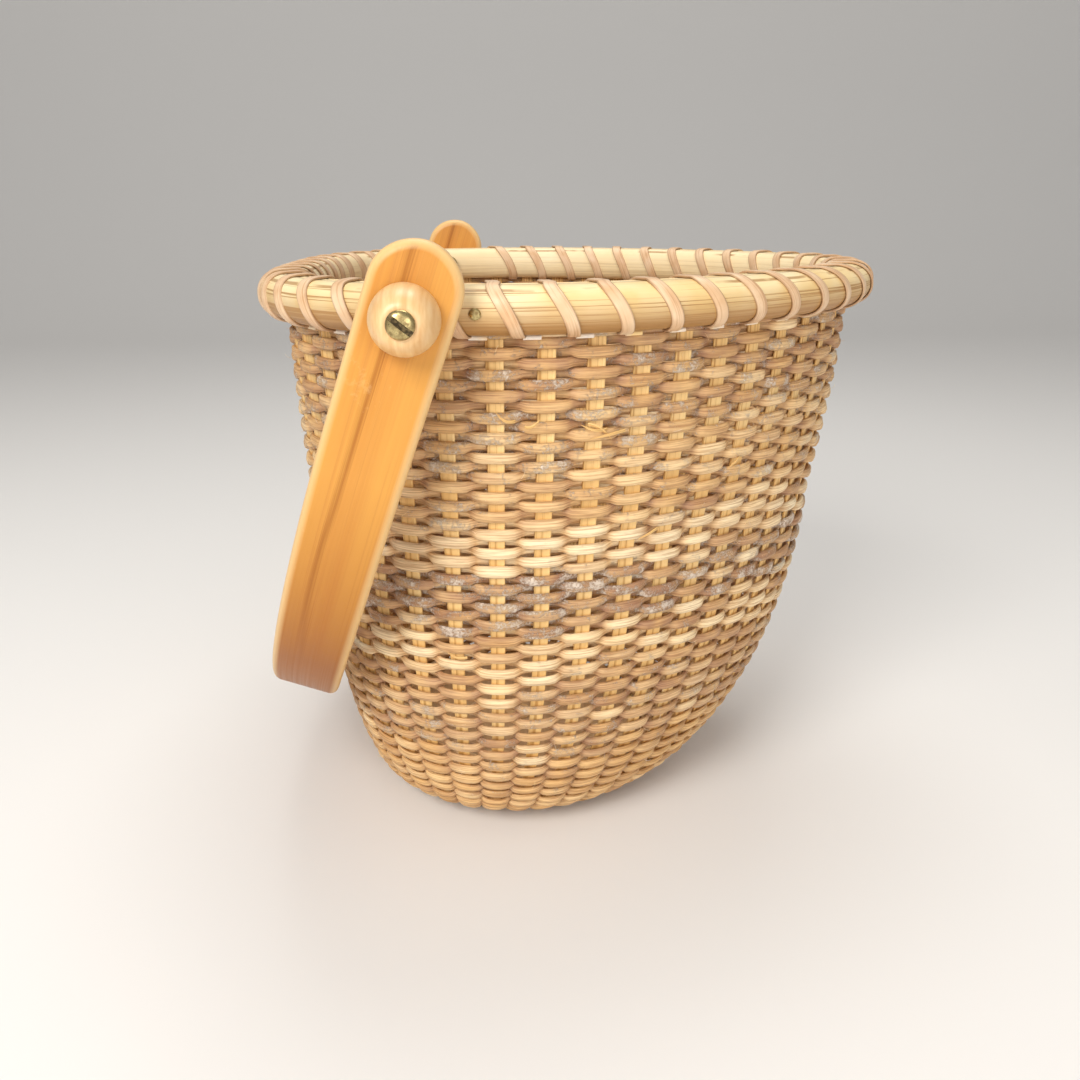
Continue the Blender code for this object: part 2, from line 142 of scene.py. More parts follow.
def wall_section(angle, place):
    """Radius, height and shift of the wall's outer face. Place runs from 0 at the rim to 2 at the base."""
    turn_in = PLAN_RADIUS - BASE_HALF_Y - TAPER_IN
    if place < 1:
        drop = STRAIGHT_DROP * place
        run = max(0.0, drop - HOOP_HEIGHT) / (STRAIGHT_DROP - HOOP_HEIGHT)
        inward = TAPER_IN * run**TAPER_POWER
    else:
        turn = math.pi / 2 * (place - 1)
        drop = STRAIGHT_DROP + TURN_DROP * math.sin(turn) ** TURN_POWER
        inward = TAPER_IN + turn_in * (1 - math.cos(turn))
    share = inward / (TAPER_IN + turn_in)
    reach = plan_reach(angle) * (1 - share) + base_reach(angle) * share
    return reach, RIM_TOP - drop, RIM_SHIFT * (1 - share)


def wall_spot(angle, place):
    """Point of the wall's outer face, and the direction straight out of it."""
    reach, z, shift = wall_section(angle, place)
    above, below = wall_section(angle, place - 0.001), wall_section(angle, min(2.0, place + 0.001))
    run_in = above[0] - below[0] + (above[2] - below[2]) * math.cos(angle)
    run_down = above[1] - below[1]
    length = math.hypot(run_in, run_down)
    cos, sin = math.cos(angle), math.sin(angle)
    out = Vector((cos * run_down / length, sin * run_down / length, -run_in / length))
    return Vector((shift + reach * cos, reach * sin, z)), out


def drop_table():
    """Length of the wall's profile at the near side from the rim's top to each place."""
    places, lengths = [k / 400 for k in range(801)], [0.0]
    here = wall_spot(-math.pi / 2, 0)[0]
    for place in places[1:]:
        there = wall_spot(-math.pi / 2, place)[0]
        lengths.append(lengths[-1] + (there - here).length)
        here = there
    return places, lengths


DROP_PLACES, DROP_LENGTHS = drop_table()


def place_at(length):
    """Place this far down the wall's profile."""
    step = min(max(bisect.bisect_right(DROP_LENGTHS, length), 1), len(DROP_LENGTHS) - 1) - 1
    part = (length - DROP_LENGTHS[step]) / (DROP_LENGTHS[step + 1] - DROP_LENGTHS[step])
    return min(2.0, DROP_PLACES[step] + part * (DROP_PLACES[step + 1] - DROP_PLACES[step]))


def length_at(place):
    """Length of the wall's profile down to this place."""
    spot = place * 400
    step = min(int(spot), len(DROP_LENGTHS) - 2)
    return DROP_LENGTHS[step] + (spot - step) * (DROP_LENGTHS[step + 1] - DROP_LENGTHS[step])


# ---------------------------------------------------------------- helpers for trees and meshes


def add_node(tree, kind, inputs=None, **settings):
    """Adds a node, gives it its settings, and fills or links its inputs by name or number."""
    node = tree.nodes.new(kind)
    for name, value in settings.items():
        setattr(node, name, value)
    for key, value in (inputs or {}).items():
        if isinstance(value, bpy.types.NodeSocket):
            tree.links.new(value, node.inputs[key])
        else:
            node.inputs[key].default_value = value
    return node


def math_node(tree, operation, *values):
    return add_node(tree, tree_kind(tree, "Math"), dict(enumerate(values)), operation=operation).outputs[0]


def vector_node(tree, operation, *values):
    node = add_node(tree, tree_kind(tree, "VectorMath"), dict(enumerate(values)), operation=operation)
    return node.outputs[1 if operation in ("DOT_PRODUCT", "LENGTH") else 0]


def scaled(tree, vector, factor):
    """The vector times a single factor."""
    return add_node(
        tree, tree_kind(tree, "VectorMath"), {"Vector": vector, "Scale": factor}, operation="SCALE"
    ).outputs[0]


def tree_kind(tree, name):
    return "ShaderNode" + name


def new_group(name, kind, inputs, outputs):
    """A node group with the named sockets. Returns it with its input and output nodes."""
    tree = bpy.data.node_groups.new(name, kind)
    for label, socket, value in inputs:
        made = tree.interface.new_socket(label, in_out="INPUT", socket_type=socket)
        if value is not None:
            made.default_value = value
    for label, socket in outputs:
        tree.interface.new_socket(label, in_out="OUTPUT", socket_type=socket)
    return tree, tree.nodes.new("NodeGroupInput"), tree.nodes.new("NodeGroupOutput")


def set_input(modifier, name, value):
    """Sets a geometry modifier's input by the identifier of the socket with this name."""
    for item in modifier.node_group.interface.items_tree:
        if item.item_type == "SOCKET" and item.in_out == "INPUT" and item.name == name:
            modifier[item.identifier] = value
            return
    raise RuntimeError(f"{modifier.node_group.name} has no input {name}")


def link_object(name, mesh):
    obj = bpy.data.objects.new(name, mesh)
    bpy.context.scene.collection.objects.link(obj)
    return obj


def bake(obj):
    """Turns the object's evaluated shape into its plain mesh and removes its modifiers."""
    graph = bpy.context.evaluated_depsgraph_get()
    mesh = bpy.data.meshes.new_from_object(
        obj.evaluated_get(graph), preserve_all_data_layers=True, depsgraph=graph
    )
    old = obj.data
    obj.modifiers.clear()
    obj.data = mesh
    mesh.name = obj.name
    bpy.data.meshes.remove(old)
    return obj


def run_tree(obj, tree, **values):
    """Runs a geometry tree on the object with the named inputs and bakes the result."""
    modifier = obj.modifiers.new(tree.name, "NODES")
    modifier.node_group = tree
    for name, value in values.items():
        set_input(modifier, name, value)
    return bake(obj)


def settle(obj, body, slot, *nodes):
    """Says which body the finished piece moves with and hides the solids it stands for; its slot is not used."""
    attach(obj, body)
    if nodes:
        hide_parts(*nodes)
    return obj


class Path:
    """Points of one or more strips, each with its outward direction, sizes and colour shares."""

    def __init__(self):
        self.points, self.edges = [], []
        self.out, self.wide, self.rise, self.stain_and_shade = [], [], [], []

    def add(self, point, out, wide=1.0, rise=1.0, stain_and_shade=(0.0, 0.0, 0.0), joined=True):
        if joined and self.points:
            self.edges.append((len(self.points) - 1, len(self.points)))
        self.points.append(point)
        self.out.append(out)
        self.wide.append(wide)
        self.rise.append(rise)
        self.stain_and_shade.append(stain_and_shade)

    def close(self, first=0):
        self.edges.append((len(self.points) - 1, first))

    def to_object(self, name):
        mesh = bpy.data.meshes.new(name)
        mesh.from_pydata(self.points, self.edges, [])
        for label, values in (("out", self.out), ("stain_and_shade", self.stain_and_shade)):
            layer = mesh.attributes.new(label, "FLOAT_VECTOR", "POINT")
            layer.data.foreach_set("vector", [number for value in values for number in value])
        for label, values in (("wide", self.wide), ("rise", self.rise)):
            mesh.attributes.new(label, "FLOAT", "POINT").data.foreach_set("value", values)
        return link_object(name, mesh)


def strip_tree():
    """Geometry tree that sweeps a cane's section along the paths it is given."""
    name = "sweep_cane"
    if name in bpy.data.node_groups:
        return bpy.data.node_groups[name]
    tree, given, made = new_group(
        name,
        "GeometryNodeTree",
        (
            ("Paths", "NodeSocketGeometry", None),
            ("Width", "NodeSocketFloat", 0.003),
            ("Rise", "NodeSocketFloat", 0.001),
            ("Back", "NodeSocketFloat", 1.0),
            ("Squareness", "NodeSocketFloat", 1.0),
            ("Sides", "NodeSocketInt", 8),
            ("Material", "NodeSocketMaterial", None),
        ),
        (("Cane", "NodeSocketGeometry"),),
    )

    def named(label, kind):
        return add_node(tree, "GeometryNodeInputNamedAttribute", {"Name": label}, data_type=kind).outputs[0]

    def store(geometry, label, kind, value):
        return add_node(
            tree,
            "GeometryNodeStoreNamedAttribute",
            {"Geometry": geometry, "Name": label, "Value": value},
            data_type=kind,
            domain="POINT",
        ).outputs[0]

    curve = add_node(tree, "GeometryNodeMeshToCurve", {"Mesh": given.outputs["Paths"]}).outputs[0]
    position = add_node(tree, "GeometryNodeInputPosition").outputs[0]
    curve = store(curve, "middle", "FLOAT_VECTOR", position)
    tangent = add_node(tree, "GeometryNodeInputTangent").outputs[0]
    curve = store(curve, "run", "FLOAT_VECTOR", tangent)
    along = add_node(tree, "GeometryNodeSplineParameter").outputs["Length"]
    curve = store(curve, "along", "FLOAT", along)

    circle = add_node(
        tree, "GeometryNodeCurvePrimitiveCircle", {"Resolution": given.outputs["Sides"], "Radius": 1.0}
    ).outputs[0]
    corner = add_node(tree, "ShaderNodeSeparateXYZ", {0: position})

    def squared(value):
        size = math_node(tree, "POWER", math_node(tree, "ABSOLUTE", value), given.outputs["Squareness"])
        return math_node(tree, "MULTIPLY", size, math_node(tree, "SIGN", value))

    x, y = squared(corner.outputs[0]), squared(corner.outputs[1])
    behind = math_node(tree, "MULTIPLY", math_node(tree, "MINIMUM", x, 0.0), given.outputs["Back"])
    x = math_node(tree, "ADD", math_node(tree, "MAXIMUM", x, 0.0), behind)
    section = add_node(tree, "ShaderNodeCombineXYZ", {0: x, 1: y}).outputs[0]
    circle = store(circle, "section", "FLOAT_VECTOR", section)

    mesh = add_node(
        tree, "GeometryNodeCurveToMesh", {"Curve": curve, "Profile Curve": circle, "Fill Caps": True}
    ).outputs[0]
    run = named("run", "FLOAT_VECTOR")
    side = vector_node(
        tree, "NORMALIZE", vector_node(tree, "CROSS_PRODUCT", run, named("out", "FLOAT_VECTOR"))
    )
    out = vector_node(tree, "CROSS_PRODUCT", side, run)
    spot = add_node(tree, "ShaderNodeSeparateXYZ", {0: named("section", "FLOAT_VECTOR")})
    rise = math_node(tree, "MULTIPLY", given.outputs["Rise"], named("rise", "FLOAT"))
    half = math_node(tree, "MULTIPLY", math_node(tree, "MULTIPLY", given.outputs["Width"], 0.5), named("wide", "FLOAT"))
    depth = math_node(tree, "MULTIPLY", rise, spot.outputs[0])
    across = math_node(tree, "MULTIPLY", half, spot.outputs[1])
    place = vector_node(
        tree,
        "ADD",
        named("middle", "FLOAT_VECTOR"),
        vector_node(tree, "ADD", scaled(tree, out, depth), scaled(tree, side, across)),
    )
    mesh = add_node(tree, "GeometryNodeSetPosition", {"Geometry": mesh, "Position": place}).outputs[0]
    grain = add_node(
        tree, "ShaderNodeCombineXYZ", {0: named("along", "FLOAT"), 1: across, 2: depth}
    ).outputs[0]
    mesh = store(mesh, "grain", "FLOAT_VECTOR", grain)
    mesh = add_node(tree, "GeometryNodeSetShadeSmooth", {"Geometry": mesh}).outputs[0]
    for label in ("middle", "run", "along", "section", "out", "wide", "rise"):
        mesh = add_node(tree, "GeometryNodeRemoveAttribute", {"Geometry": mesh, "Name": label}).outputs[0]
    mesh = add_node(tree, "GeometryNodeRealizeInstances", {"Geometry": mesh}).outputs[0]
    mesh = add_node(
        tree, "GeometryNodeSetMaterial", {"Geometry": mesh, "Material": given.outputs["Material"]}
    ).outputs[0]
    tree.links.new(mesh, made.inputs[0])
    return tree


def sweep(name, path, material, width, rise, back=1.0, squareness=1.0, sides=8):
    """One piece of cane swept along its path."""
    return run_tree(
        path.to_object(name),
        strip_tree(),
        Width=width,
        Rise=rise,
        Back=back,
        Squareness=squareness,
        Sides=sides,
        Material=material,
    )


# ---------------------------------------------------------------- materials


def fibre_group():
    """Shader group: long fine streaks and broad patches that follow a piece's own length."""
    name = "cane_fibre"
    if name in bpy.data.node_groups:
        return bpy.data.node_groups[name]
    tree, given, made = new_group(
        name,
        "ShaderNodeTree",
        (
            ("Vector", "NodeSocketVector", None),
            ("Along", "NodeSocketFloat", 60.0),
            ("Across", "NodeSocketFloat", 2500.0),
            ("Patch", "NodeSocketFloat", 90.0),
        ),
        (("Streaks", "NodeSocketFloat"), ("Patches", "NodeSocketFloat")),
    )
    stretch = add_node(
        tree,
        "ShaderNodeCombineXYZ",
        {0: given.outputs["Along"], 1: given.outputs["Across"], 2: given.outputs["Across"]},
    ).outputs[0]
    fine = vector_node(tree, "MULTIPLY", given.outputs["Vector"], stretch)
    streaks = add_node(tree, "ShaderNodeTexNoise", {"Vector": fine, "Scale": 1.0, "Detail": 3.0, "Roughness": 0.6})
    broad = scaled(tree, given.outputs["Vector"], given.outputs["Patch"])
    patches = add_node(tree, "ShaderNodeTexNoise", {"Vector": broad, "Scale": 1.0, "Detail": 2.0, "Roughness": 0.5})
    tree.links.new(streaks.outputs[0], made.inputs["Streaks"])
    tree.links.new(patches.outputs[0], made.inputs["Patches"])
    return tree


def dust_group():
    """Shader group: mask of pale fuzz that clings in small ragged patches."""
    name = "cane_dust"
    if name in bpy.data.node_groups:
        return bpy.data.node_groups[name]
    tree, given, made = new_group(
        name,
        "ShaderNodeTree",
        (
            ("Vector", "NodeSocketVector", None),
            ("Amount", "NodeSocketFloat", 0.5),
            ("Scale", "NodeSocketFloat", 900.0),
        ),
        (("Mask", "NodeSocketFloat"), ("Height", "NodeSocketFloat")),
    )
    fine = add_node(
        tree,
        "ShaderNodeTexNoise",
        {"Vector": given.outputs["Vector"], "Scale": given.outputs["Scale"], "Detail": 4.0, "Roughness": 0.75},
    ).outputs[0]
    patch = add_node(
        tree,
        "ShaderNodeTexNoise",
        {
            "Vector": given.outputs["Vector"],
            "Scale": math_node(tree, "MULTIPLY", given.outputs["Scale"], 0.16),
            "Detail": 2.0,
        },
    ).outputs[0]
    level = math_node(tree, "ADD", math_node(tree, "MULTIPLY", fine, 0.55), math_node(tree, "MULTIPLY", patch, 0.45))
    edge = math_node(tree, "SUBTRACT", 0.68, math_node(tree, "MULTIPLY", given.outputs["Amount"], 0.22))
    mask = add_node(
        tree,
        "ShaderNodeMapRange",
        {"Value": level, "From Min": edge, "From Max": math_node(tree, "ADD", edge, 0.10)},
    ).outputs[0]
    mask = math_node(tree, "MULTIPLY", mask, math_node(tree, "MINIMUM", math_node(tree, "MULTIPLY", given.outputs["Amount"], 3.0), 1.0))
    tree.links.new(mask, made.inputs["Mask"])
    tree.links.new(math_node(tree, "MULTIPLY", mask, fine), made.inputs["Height"])
    return tree


def mixed(tree, factor, first, second, blend_type="MIX"):
    """The second colour over the first by this factor."""
    node = add_node(
        tree, "ShaderNodeMix", {0: factor, 6: first, 7: second}, data_type="RGBA", blend_type=blend_type
    )
    return node.outputs[2]


def opaque(color):
    return (*color[:3], 1.0)


def spread(tree, value, low, high, to_low=0.0, to_high=1.0):
    """The value, with the range from low to high stretched to the new range and clamped."""
    return add_node(
        tree,
        "ShaderNodeMapRange",
        {"Value": value, "From Min": low, "From Max": high, "To Min": to_low, "To Max": to_high},
    ).outputs[0]


def new_material(name):
    """An empty material with its Principled shader."""
    material = bpy.data.materials.new(name)
    material.use_nodes = True
    return material, material.node_tree, material.node_tree.nodes["Principled BSDF"]


def attribute(tree, name):
    return add_node(tree, "ShaderNodeAttribute", attribute_name=name).outputs["Vector"]


def grain_vector(tree, shift=None):
    """A piece's own length, width and depth, as its texture place."""
    return attribute(tree, "grain")


def use_group(tree, group, inputs):
    return add_node(tree, "ShaderNodeGroup", inputs={}, node_tree=group) if not inputs else fill_group(tree, group, inputs)


def fill_group(tree, group, inputs):
    node = tree.nodes.new("ShaderNodeGroup")
    node.node_tree = group
    for key, value in inputs.items():
        if isinstance(value, bpy.types.NodeSocket):
            tree.links.new(value, node.inputs[key])
        else:
            node.inputs[key].default_value = value
    return node


def add_bump(tree, shader, height, strength, distance):
    bump = add_node(tree, "ShaderNodeBump", {"Height": height, "Strength": strength, "Distance": distance})
    tree.links.new(bump.outputs[0], shader.inputs["Normal"])


def weaver_material(colors):
    """Cane of the weave: gold, cream and mauve-brown lengths with streaks and clinging fuzz; the mauve share also
    carries painted shade in the pockets where a weaver crosses between staves.
    """
    material, tree, shader = new_material("weaver_cane")
    grain = grain_vector(tree)
    stain_and_shade = add_node(tree, "ShaderNodeSeparateXYZ", {0: attribute(tree, "stain_and_shade")})
    fibre = fill_group(tree, fibre_group(), {"Vector": grain, "Along": 90.0, "Across": 2600.0, "Patch": 160.0})
    streaks, patches = fibre.outputs[0], fibre.outputs[1]
    color = mixed(tree, stain_and_shade.outputs[1], opaque(colors.weaver_gold), opaque(colors.weaver_cream))
    tinted = math_node(tree, "MULTIPLY", stain_and_shade.outputs[0], spread(tree, patches, 0.3, 0.6, 0.6, 1.0))
    color = mixed(tree, tinted, color, opaque(colors.weaver_mauve_and_shade))
    dark = mixed(tree, 1.0, color, (0.58, 0.46, 0.38, 1.0), "MULTIPLY")
    color = mixed(tree, spread(tree, streaks, 0.58, 0.36, 0.0, 0.9), color, dark)
    dust = fill_group(tree, dust_group(), {"Vector": grain, "Amount": stain_and_shade.outputs[2], "Scale": 1500.0})
    color = mixed(tree, math_node(tree, "MULTIPLY", dust.outputs[0], 0.75), color, opaque(colors.dust))
    tree.links.new(color, shader.inputs["Base Color"])
    rough = math_node(tree, "ADD", spread(tree, streaks, 0.3, 0.7, 0.5, 0.62), math_node(tree, "MULTIPLY", dust.outputs[0], 0.25))
    tree.links.new(rough, shader.inputs["Roughness"])
    height = math_node(tree, "ADD", math_node(tree, "MULTIPLY", streaks, 0.5), dust.outputs[1])
    add_bump(tree, shader, height, 1.0, 0.0004)
    return material


def splint_material(colors):
    """Golden splint with fine straight grain lines down its length."""
    material, tree, shader = new_material("splint")
    grain = grain_vector(tree)
    fibre = fill_group(tree, fibre_group(), {"Vector": grain, "Along": 10.0, "Across": 1500.0, "Patch": 45.0})
    streaks, patches = fibre.outputs[0], fibre.outputs[1]
    color = mixed(tree, spread(tree, patches, 0.35, 0.65), opaque(colors.splint), opaque(colors.splint_pale))
    dark = mixed(tree, 1.0, color, (0.60, 0.46, 0.30, 1.0), "MULTIPLY")
    color = mixed(tree, spread(tree, streaks, 0.52, 0.40, 0.0, 0.9), color, dark)
    tree.links.new(color, shader.inputs["Base Color"])
    tree.links.new(spread(tree, streaks, 0.3, 0.7, 0.55, 0.42), shader.inputs["Roughness"])
    add_bump(tree, shader, streaks, 0.7, 0.00025)
    return material


def rattan_material(colors):
    """Half-round rattan: yellow, with brown streaks that thicken towards its lower half, painted shade on the outer
    hoop's lower half and a painted shadow line along the seam at the top.
    """
    material, tree, shader = new_material("rattan")
    grain = grain_vector(tree)
    place = add_node(tree, "ShaderNodeSeparateXYZ", {0: grain})
    fibre = fill_group(tree, fibre_group(), {"Vector": grain, "Along": 16.0, "Across": 2100.0, "Patch": 60.0})
    broad = fill_group(tree, fibre_group(), {"Vector": grain, "Along": 7.0, "Across": 700.0, "Patch": 25.0})
    height = add_node(tree, "ShaderNodeSeparateXYZ", {0: add_node(tree, "ShaderNodeTexCoord").outputs["Object"]})
    # Painted shade: the outer hoop's lower half, which faces down, is tinted darker and browner; its streaks also
    # thicken there.
    low = spread(tree, height.outputs[2], PIVOT_Z + 0.004, PIVOT_Z - 0.0035)
    inner = add_node(tree, "ShaderNodeSeparateXYZ", {0: attribute(tree, "stain_and_shade")}).outputs[0]
    color = mixed(tree, spread(tree, fibre.outputs[1], 0.35, 0.65), opaque(colors.rattan), opaque(colors.rattan_pale))
    outside = math_node(tree, "SUBTRACT", 1.0, inner)
    color = mixed(tree, math_node(tree, "MULTIPLY", math_node(tree, "MULTIPLY", low, 0.95), outside), color, opaque(colors.rattan_shade_below))
    color = mixed(tree, math_node(tree, "MULTIPLY", inner, 0.6), color, opaque(colors.weaver_cream))
    streak = math_node(tree, "ADD", fibre.outputs[0], math_node(tree, "MULTIPLY", broad.outputs[0], 0.6))
    edge = math_node(tree, "ADD", 0.70, math_node(tree, "MULTIPLY", low, 0.14))
    mask = add_node(
        tree,
        "ShaderNodeMapRange",
        {"Value": streak, "From Min": edge, "From Max": math_node(tree, "SUBTRACT", edge, 0.10), "To Max": 0.85},
    ).outputs[0]
    mask = math_node(tree, "MULTIPLY", mask, math_node(tree, "SUBTRACT", 1.0, math_node(tree, "MULTIPLY", inner, 0.7)))
    color = mixed(tree, mask, color, opaque(colors.rattan_streak_and_seam_shadow))
    # Painted shadow: a broken dark line just under the rim's top stands for the shaded gap between the outer hoop and
    # the filler.
    wave = math_node(tree, "MULTIPLY", math_node(tree, "SUBTRACT", broad.outputs[1], 0.5), 0.0014)
    seam_shadow = math_node(tree, "ABSOLUTE", math_node(tree, "SUBTRACT", math_node(tree, "ADD", height.outputs[2], wave), RIM_TOP - 0.0011))
    seam_shadow = math_node(tree, "MULTIPLY", spread(tree, seam_shadow, 0.0004, 0.0002), spread(tree, fibre.outputs[1], 0.47, 0.53))
    color = mixed(tree, math_node(tree, "MULTIPLY", seam_shadow, 0.8), color, opaque(colors.rattan_streak_and_seam_shadow))
    tree.links.new(color, shader.inputs["Base Color"])
    tree.links.new(spread(tree, fibre.outputs[0], 0.3, 0.7, 0.55, 0.38), shader.inputs["Roughness"])
    add_bump(tree, shader, fibre.outputs[0], 0.5, 0.0003)
    return material


def binding_material(colors):
    """Flat binding cane: pinkish tan with a soft sheen and painted shade along its edges."""
    material, tree, shader = new_material("binding_cane")
    grain = grain_vector(tree)
    place = add_node(tree, "ShaderNodeSeparateXYZ", {0: grain})
    fibre = fill_group(tree, fibre_group(), {"Vector": grain, "Along": 70.0, "Across": 2200.0, "Patch": 120.0})
    color = mixed(tree, spread(tree, fibre.outputs[1], 0.35, 0.65), opaque(colors.binding), opaque(colors.binding_pale))
    # Painted shade: both edges of the flat cane are darkened.
    side = math_node(tree, "ABSOLUTE", place.outputs[1])
    color = mixed(tree, spread(tree, side, 0.0013, 0.00165, 0.0, 0.5), color, (0.34, 0.20, 0.11, 1.0))
    dark = mixed(tree, 1.0, color, (0.72, 0.60, 0.50, 1.0), "MULTIPLY")
    color = mixed(tree, spread(tree, fibre.outputs[0], 0.50, 0.34, 0.0, 0.8), color, dark)
    tree.links.new(color, shader.inputs["Base Color"])
    tree.links.new(spread(tree, fibre.outputs[0], 0.3, 0.7, 0.5, 0.36), shader.inputs["Roughness"])
    add_bump(tree, shader, fibre.outputs[0], 0.5, 0.0002)
    return material


def handle_material(colors):
    """Bent hardwood: honey grain lines, one dark streak and light scuffs, with painted highlight on the rounded edges
    and lower leg ends darkened partly by painted shade.
    """
    material, tree, shader = new_material("handle_wood")
    grain = grain_vector(tree)
    place = add_node(tree, "ShaderNodeSeparateXYZ", {0: grain})
    edge = add_node(tree, "ShaderNodeAttribute", attribute_name="rounded").outputs["Fac"]
    fine = fill_group(tree, fibre_group(), {"Vector": grain, "Along": 12.0, "Across": 2200.0, "Patch": 70.0})
    broad = fill_group(tree, fibre_group(), {"Vector": grain, "Along": 4.0, "Across": 160.0, "Patch": 14.0})
    color = mixed(tree, spread(tree, broad.outputs[0], 0.35, 0.65), opaque(colors.handle_deep), opaque(colors.handle))
    color = mixed(tree, spread(tree, fine.outputs[0], 0.50, 0.34, 0.0, 0.3), color, opaque(colors.handle_grain))
    wander = add_node(
        tree, "ShaderNodeTexNoise", {"Vector": scaled(tree, grain, 18.0), "Scale": 1.0, "Detail": 1.0}
    ).outputs[0]
    line = math_node(tree, "ADD", place.outputs[1], math_node(tree, "MULTIPLY", math_node(tree, "SUBTRACT", wander, 0.5), 0.004))
    off = math_node(tree, "ABSOLUTE", math_node(tree, "ADD", line, 0.0030))
    ragged = math_node(tree, "ADD", off, math_node(tree, "MULTIPLY", math_node(tree, "SUBTRACT", fine.outputs[0], 0.5), 0.004))
    streak = spread(tree, ragged, 0.0016, 0.0, 0.0, 0.75)
    color = mixed(tree, streak, color, opaque(colors.handle_streak_and_shade))
    scuff = fill_group(tree, dust_group(), {"Vector": grain, "Amount": 0.25, "Scale": 260.0})
    color = mixed(tree, math_node(tree, "MULTIPLY", scuff.outputs[0], 0.35), color, opaque(colors.handle_scuff_and_highlight))
    # Darker towards the lower ends of the legs: partly the wood's own colour, partly painted shade where the legs face
    # down.
    bottom = spread(tree, math_node(tree, "ABSOLUTE", math_node(tree, "SUBTRACT", place.outputs[0], 0.2235)), 0.165, 0.095, 0.0, 0.97)
    color = mixed(tree, bottom, color, opaque(colors.handle_streak_and_shade))
    # Painted highlight: the rounded long edges are paled, as where they catch the light.
    color = mixed(tree, spread(tree, edge, 0.05, 0.7, 0.0, 0.8), color, opaque(colors.handle_scuff_and_highlight))
    tree.links.new(color, shader.inputs["Base Color"])
    rough = spread(tree, fine.outputs[0], 0.3, 0.7, 0.46, 0.32)
    tree.links.new(rough, shader.inputs["Roughness"])
    shader.inputs["Specular IOR Level"].default_value = 0.32
    shader.inputs["Coat Weight"].default_value = 0.06
    shader.inputs["Coat Roughness"].default_value = 0.35
    add_bump(tree, shader, fine.outputs[0], 0.25, 0.0002)
    return material


def turned_material(colors):
    """Turned hardwood of the knobs, washers and plug."""
    material, tree, shader = new_material("turned_wood")
    place = add_node(tree, "ShaderNodeTexCoord").outputs["Object"]
    turned = vector_node(tree, "MULTIPLY", place, (900.0, 90.0, 160.0))
    grain = add_node(tree, "ShaderNodeTexNoise", {"Vector": turned, "Scale": 1.0, "Detail": 3.0}).outputs[0]
    color = mixed(tree, spread(tree, grain, 0.25, 0.75), opaque(colors.knob), opaque(colors.knob_pale))
    scuff = fill_group(tree, dust_group(), {"Vector": place, "Amount": 0.3, "Scale": 500.0})
    color = mixed(tree, math_node(tree, "MULTIPLY", scuff.outputs[0], 0.25), color, opaque(colors.handle_deep))
    tree.links.new(color, shader.inputs["Base Color"])
    tree.links.new(spread(tree, grain, 0.3, 0.7, 0.42, 0.30), shader.inputs["Roughness"])
    shader.inputs["Coat Weight"].default_value = 0.2
    shader.inputs["Coat Roughness"].default_value = 0.3
    add_bump(tree, shader, grain, 0.2, 0.0002)
    return material


def base_material(colors):
    """Oiled board of the base: brown wood with rings of the lathe and long figure."""
    material, tree, shader = new_material("base_wood")
    place = add_node(tree, "ShaderNodeTexCoord").outputs["Object"]
    figure = vector_node(tree, "MULTIPLY", place, (320.0, 26.0, 320.0))
    grain = add_node(tree, "ShaderNodeTexNoise", {"Vector": figure, "Scale": 1.0, "Detail": 4.0, "Distortion": 0.6}).outputs[0]
    color = mixed(tree, spread(tree, grain, 0.35, 0.65), opaque(colors.base_dark), opaque(colors.base))
    scuff = fill_group(tree, dust_group(), {"Vector": place, "Amount": 0.35, "Scale": 320.0})
    color = mixed(tree, math_node(tree, "MULTIPLY", scuff.outputs[0], 0.4), color, opaque(colors.dust))
    tree.links.new(color, shader.inputs["Base Color"])
    tree.links.new(spread(tree, grain, 0.3, 0.7, 0.55, 0.40), shader.inputs["Roughness"])
    add_bump(tree, shader, grain, 0.4, 0.0003)
    return material


def brass_material(colors):
    """Aged brass: dull gold with brown tarnish in cloudy patches."""
    material, tree, shader = new_material("aged_brass")
    place = add_node(tree, "ShaderNodeTexCoord").outputs["Object"]
    cloud = add_node(tree, "ShaderNodeTexNoise", {"Vector": place, "Scale": 700.0, "Detail": 4.0, "Roughness": 0.65}).outputs[0]
    color = mixed(tree, spread(tree, cloud, 0.40, 0.62), opaque(colors.brass), opaque(colors.tarnish))
    tree.links.new(color, shader.inputs["Base Color"])
    tree.links.new(spread(tree, cloud, 0.35, 0.65, 0.24, 0.55), shader.inputs["Roughness"])
    shader.inputs["Metallic"].default_value = 1.0
    add_bump(tree, shader, cloud, 0.25, 0.0001)
    return material


def slot_shade_material(colors):
    """Painted shade down in a screw's slot: near-black brass with patches of tarnish colour."""
    material, tree, shader = new_material("slot_shade_brass")
    place = add_node(tree, "ShaderNodeTexCoord").outputs["Object"]
    cloud = add_node(tree, "ShaderNodeTexNoise", {"Vector": place, "Scale": 1200.0, "Detail": 3.0}).outputs[0]
    color = mixed(tree, spread(tree, cloud, 0.4, 0.65), (0.05, 0.035, 0.015, 1.0), opaque(colors.tarnish))
    tree.links.new(color, shader.inputs["Base Color"])
    shader.inputs["Metallic"].default_value = 0.6
    shader.inputs["Roughness"].default_value = 0.6
    return material


def fuzz_and_gap_light_material(colors):
    """Loose cane fibres, pale and matt; also the painted light of the strip under the rim."""
    material, tree, shader = new_material("fibre_and_gap_light")
    place = add_node(tree, "ShaderNodeTexCoord").outputs["Object"]
    tone = add_node(tree, "ShaderNodeTexNoise", {"Vector": place, "Scale": 120.0, "Detail": 1.0}).outputs[0]
    color = mixed(tree, spread(tree, tone, 0.35, 0.65), opaque(colors.dust), opaque(colors.splint_pale))
    tree.links.new(color, shader.inputs["Base Color"])
    shader.inputs["Roughness"].default_value = 0.8
    return material


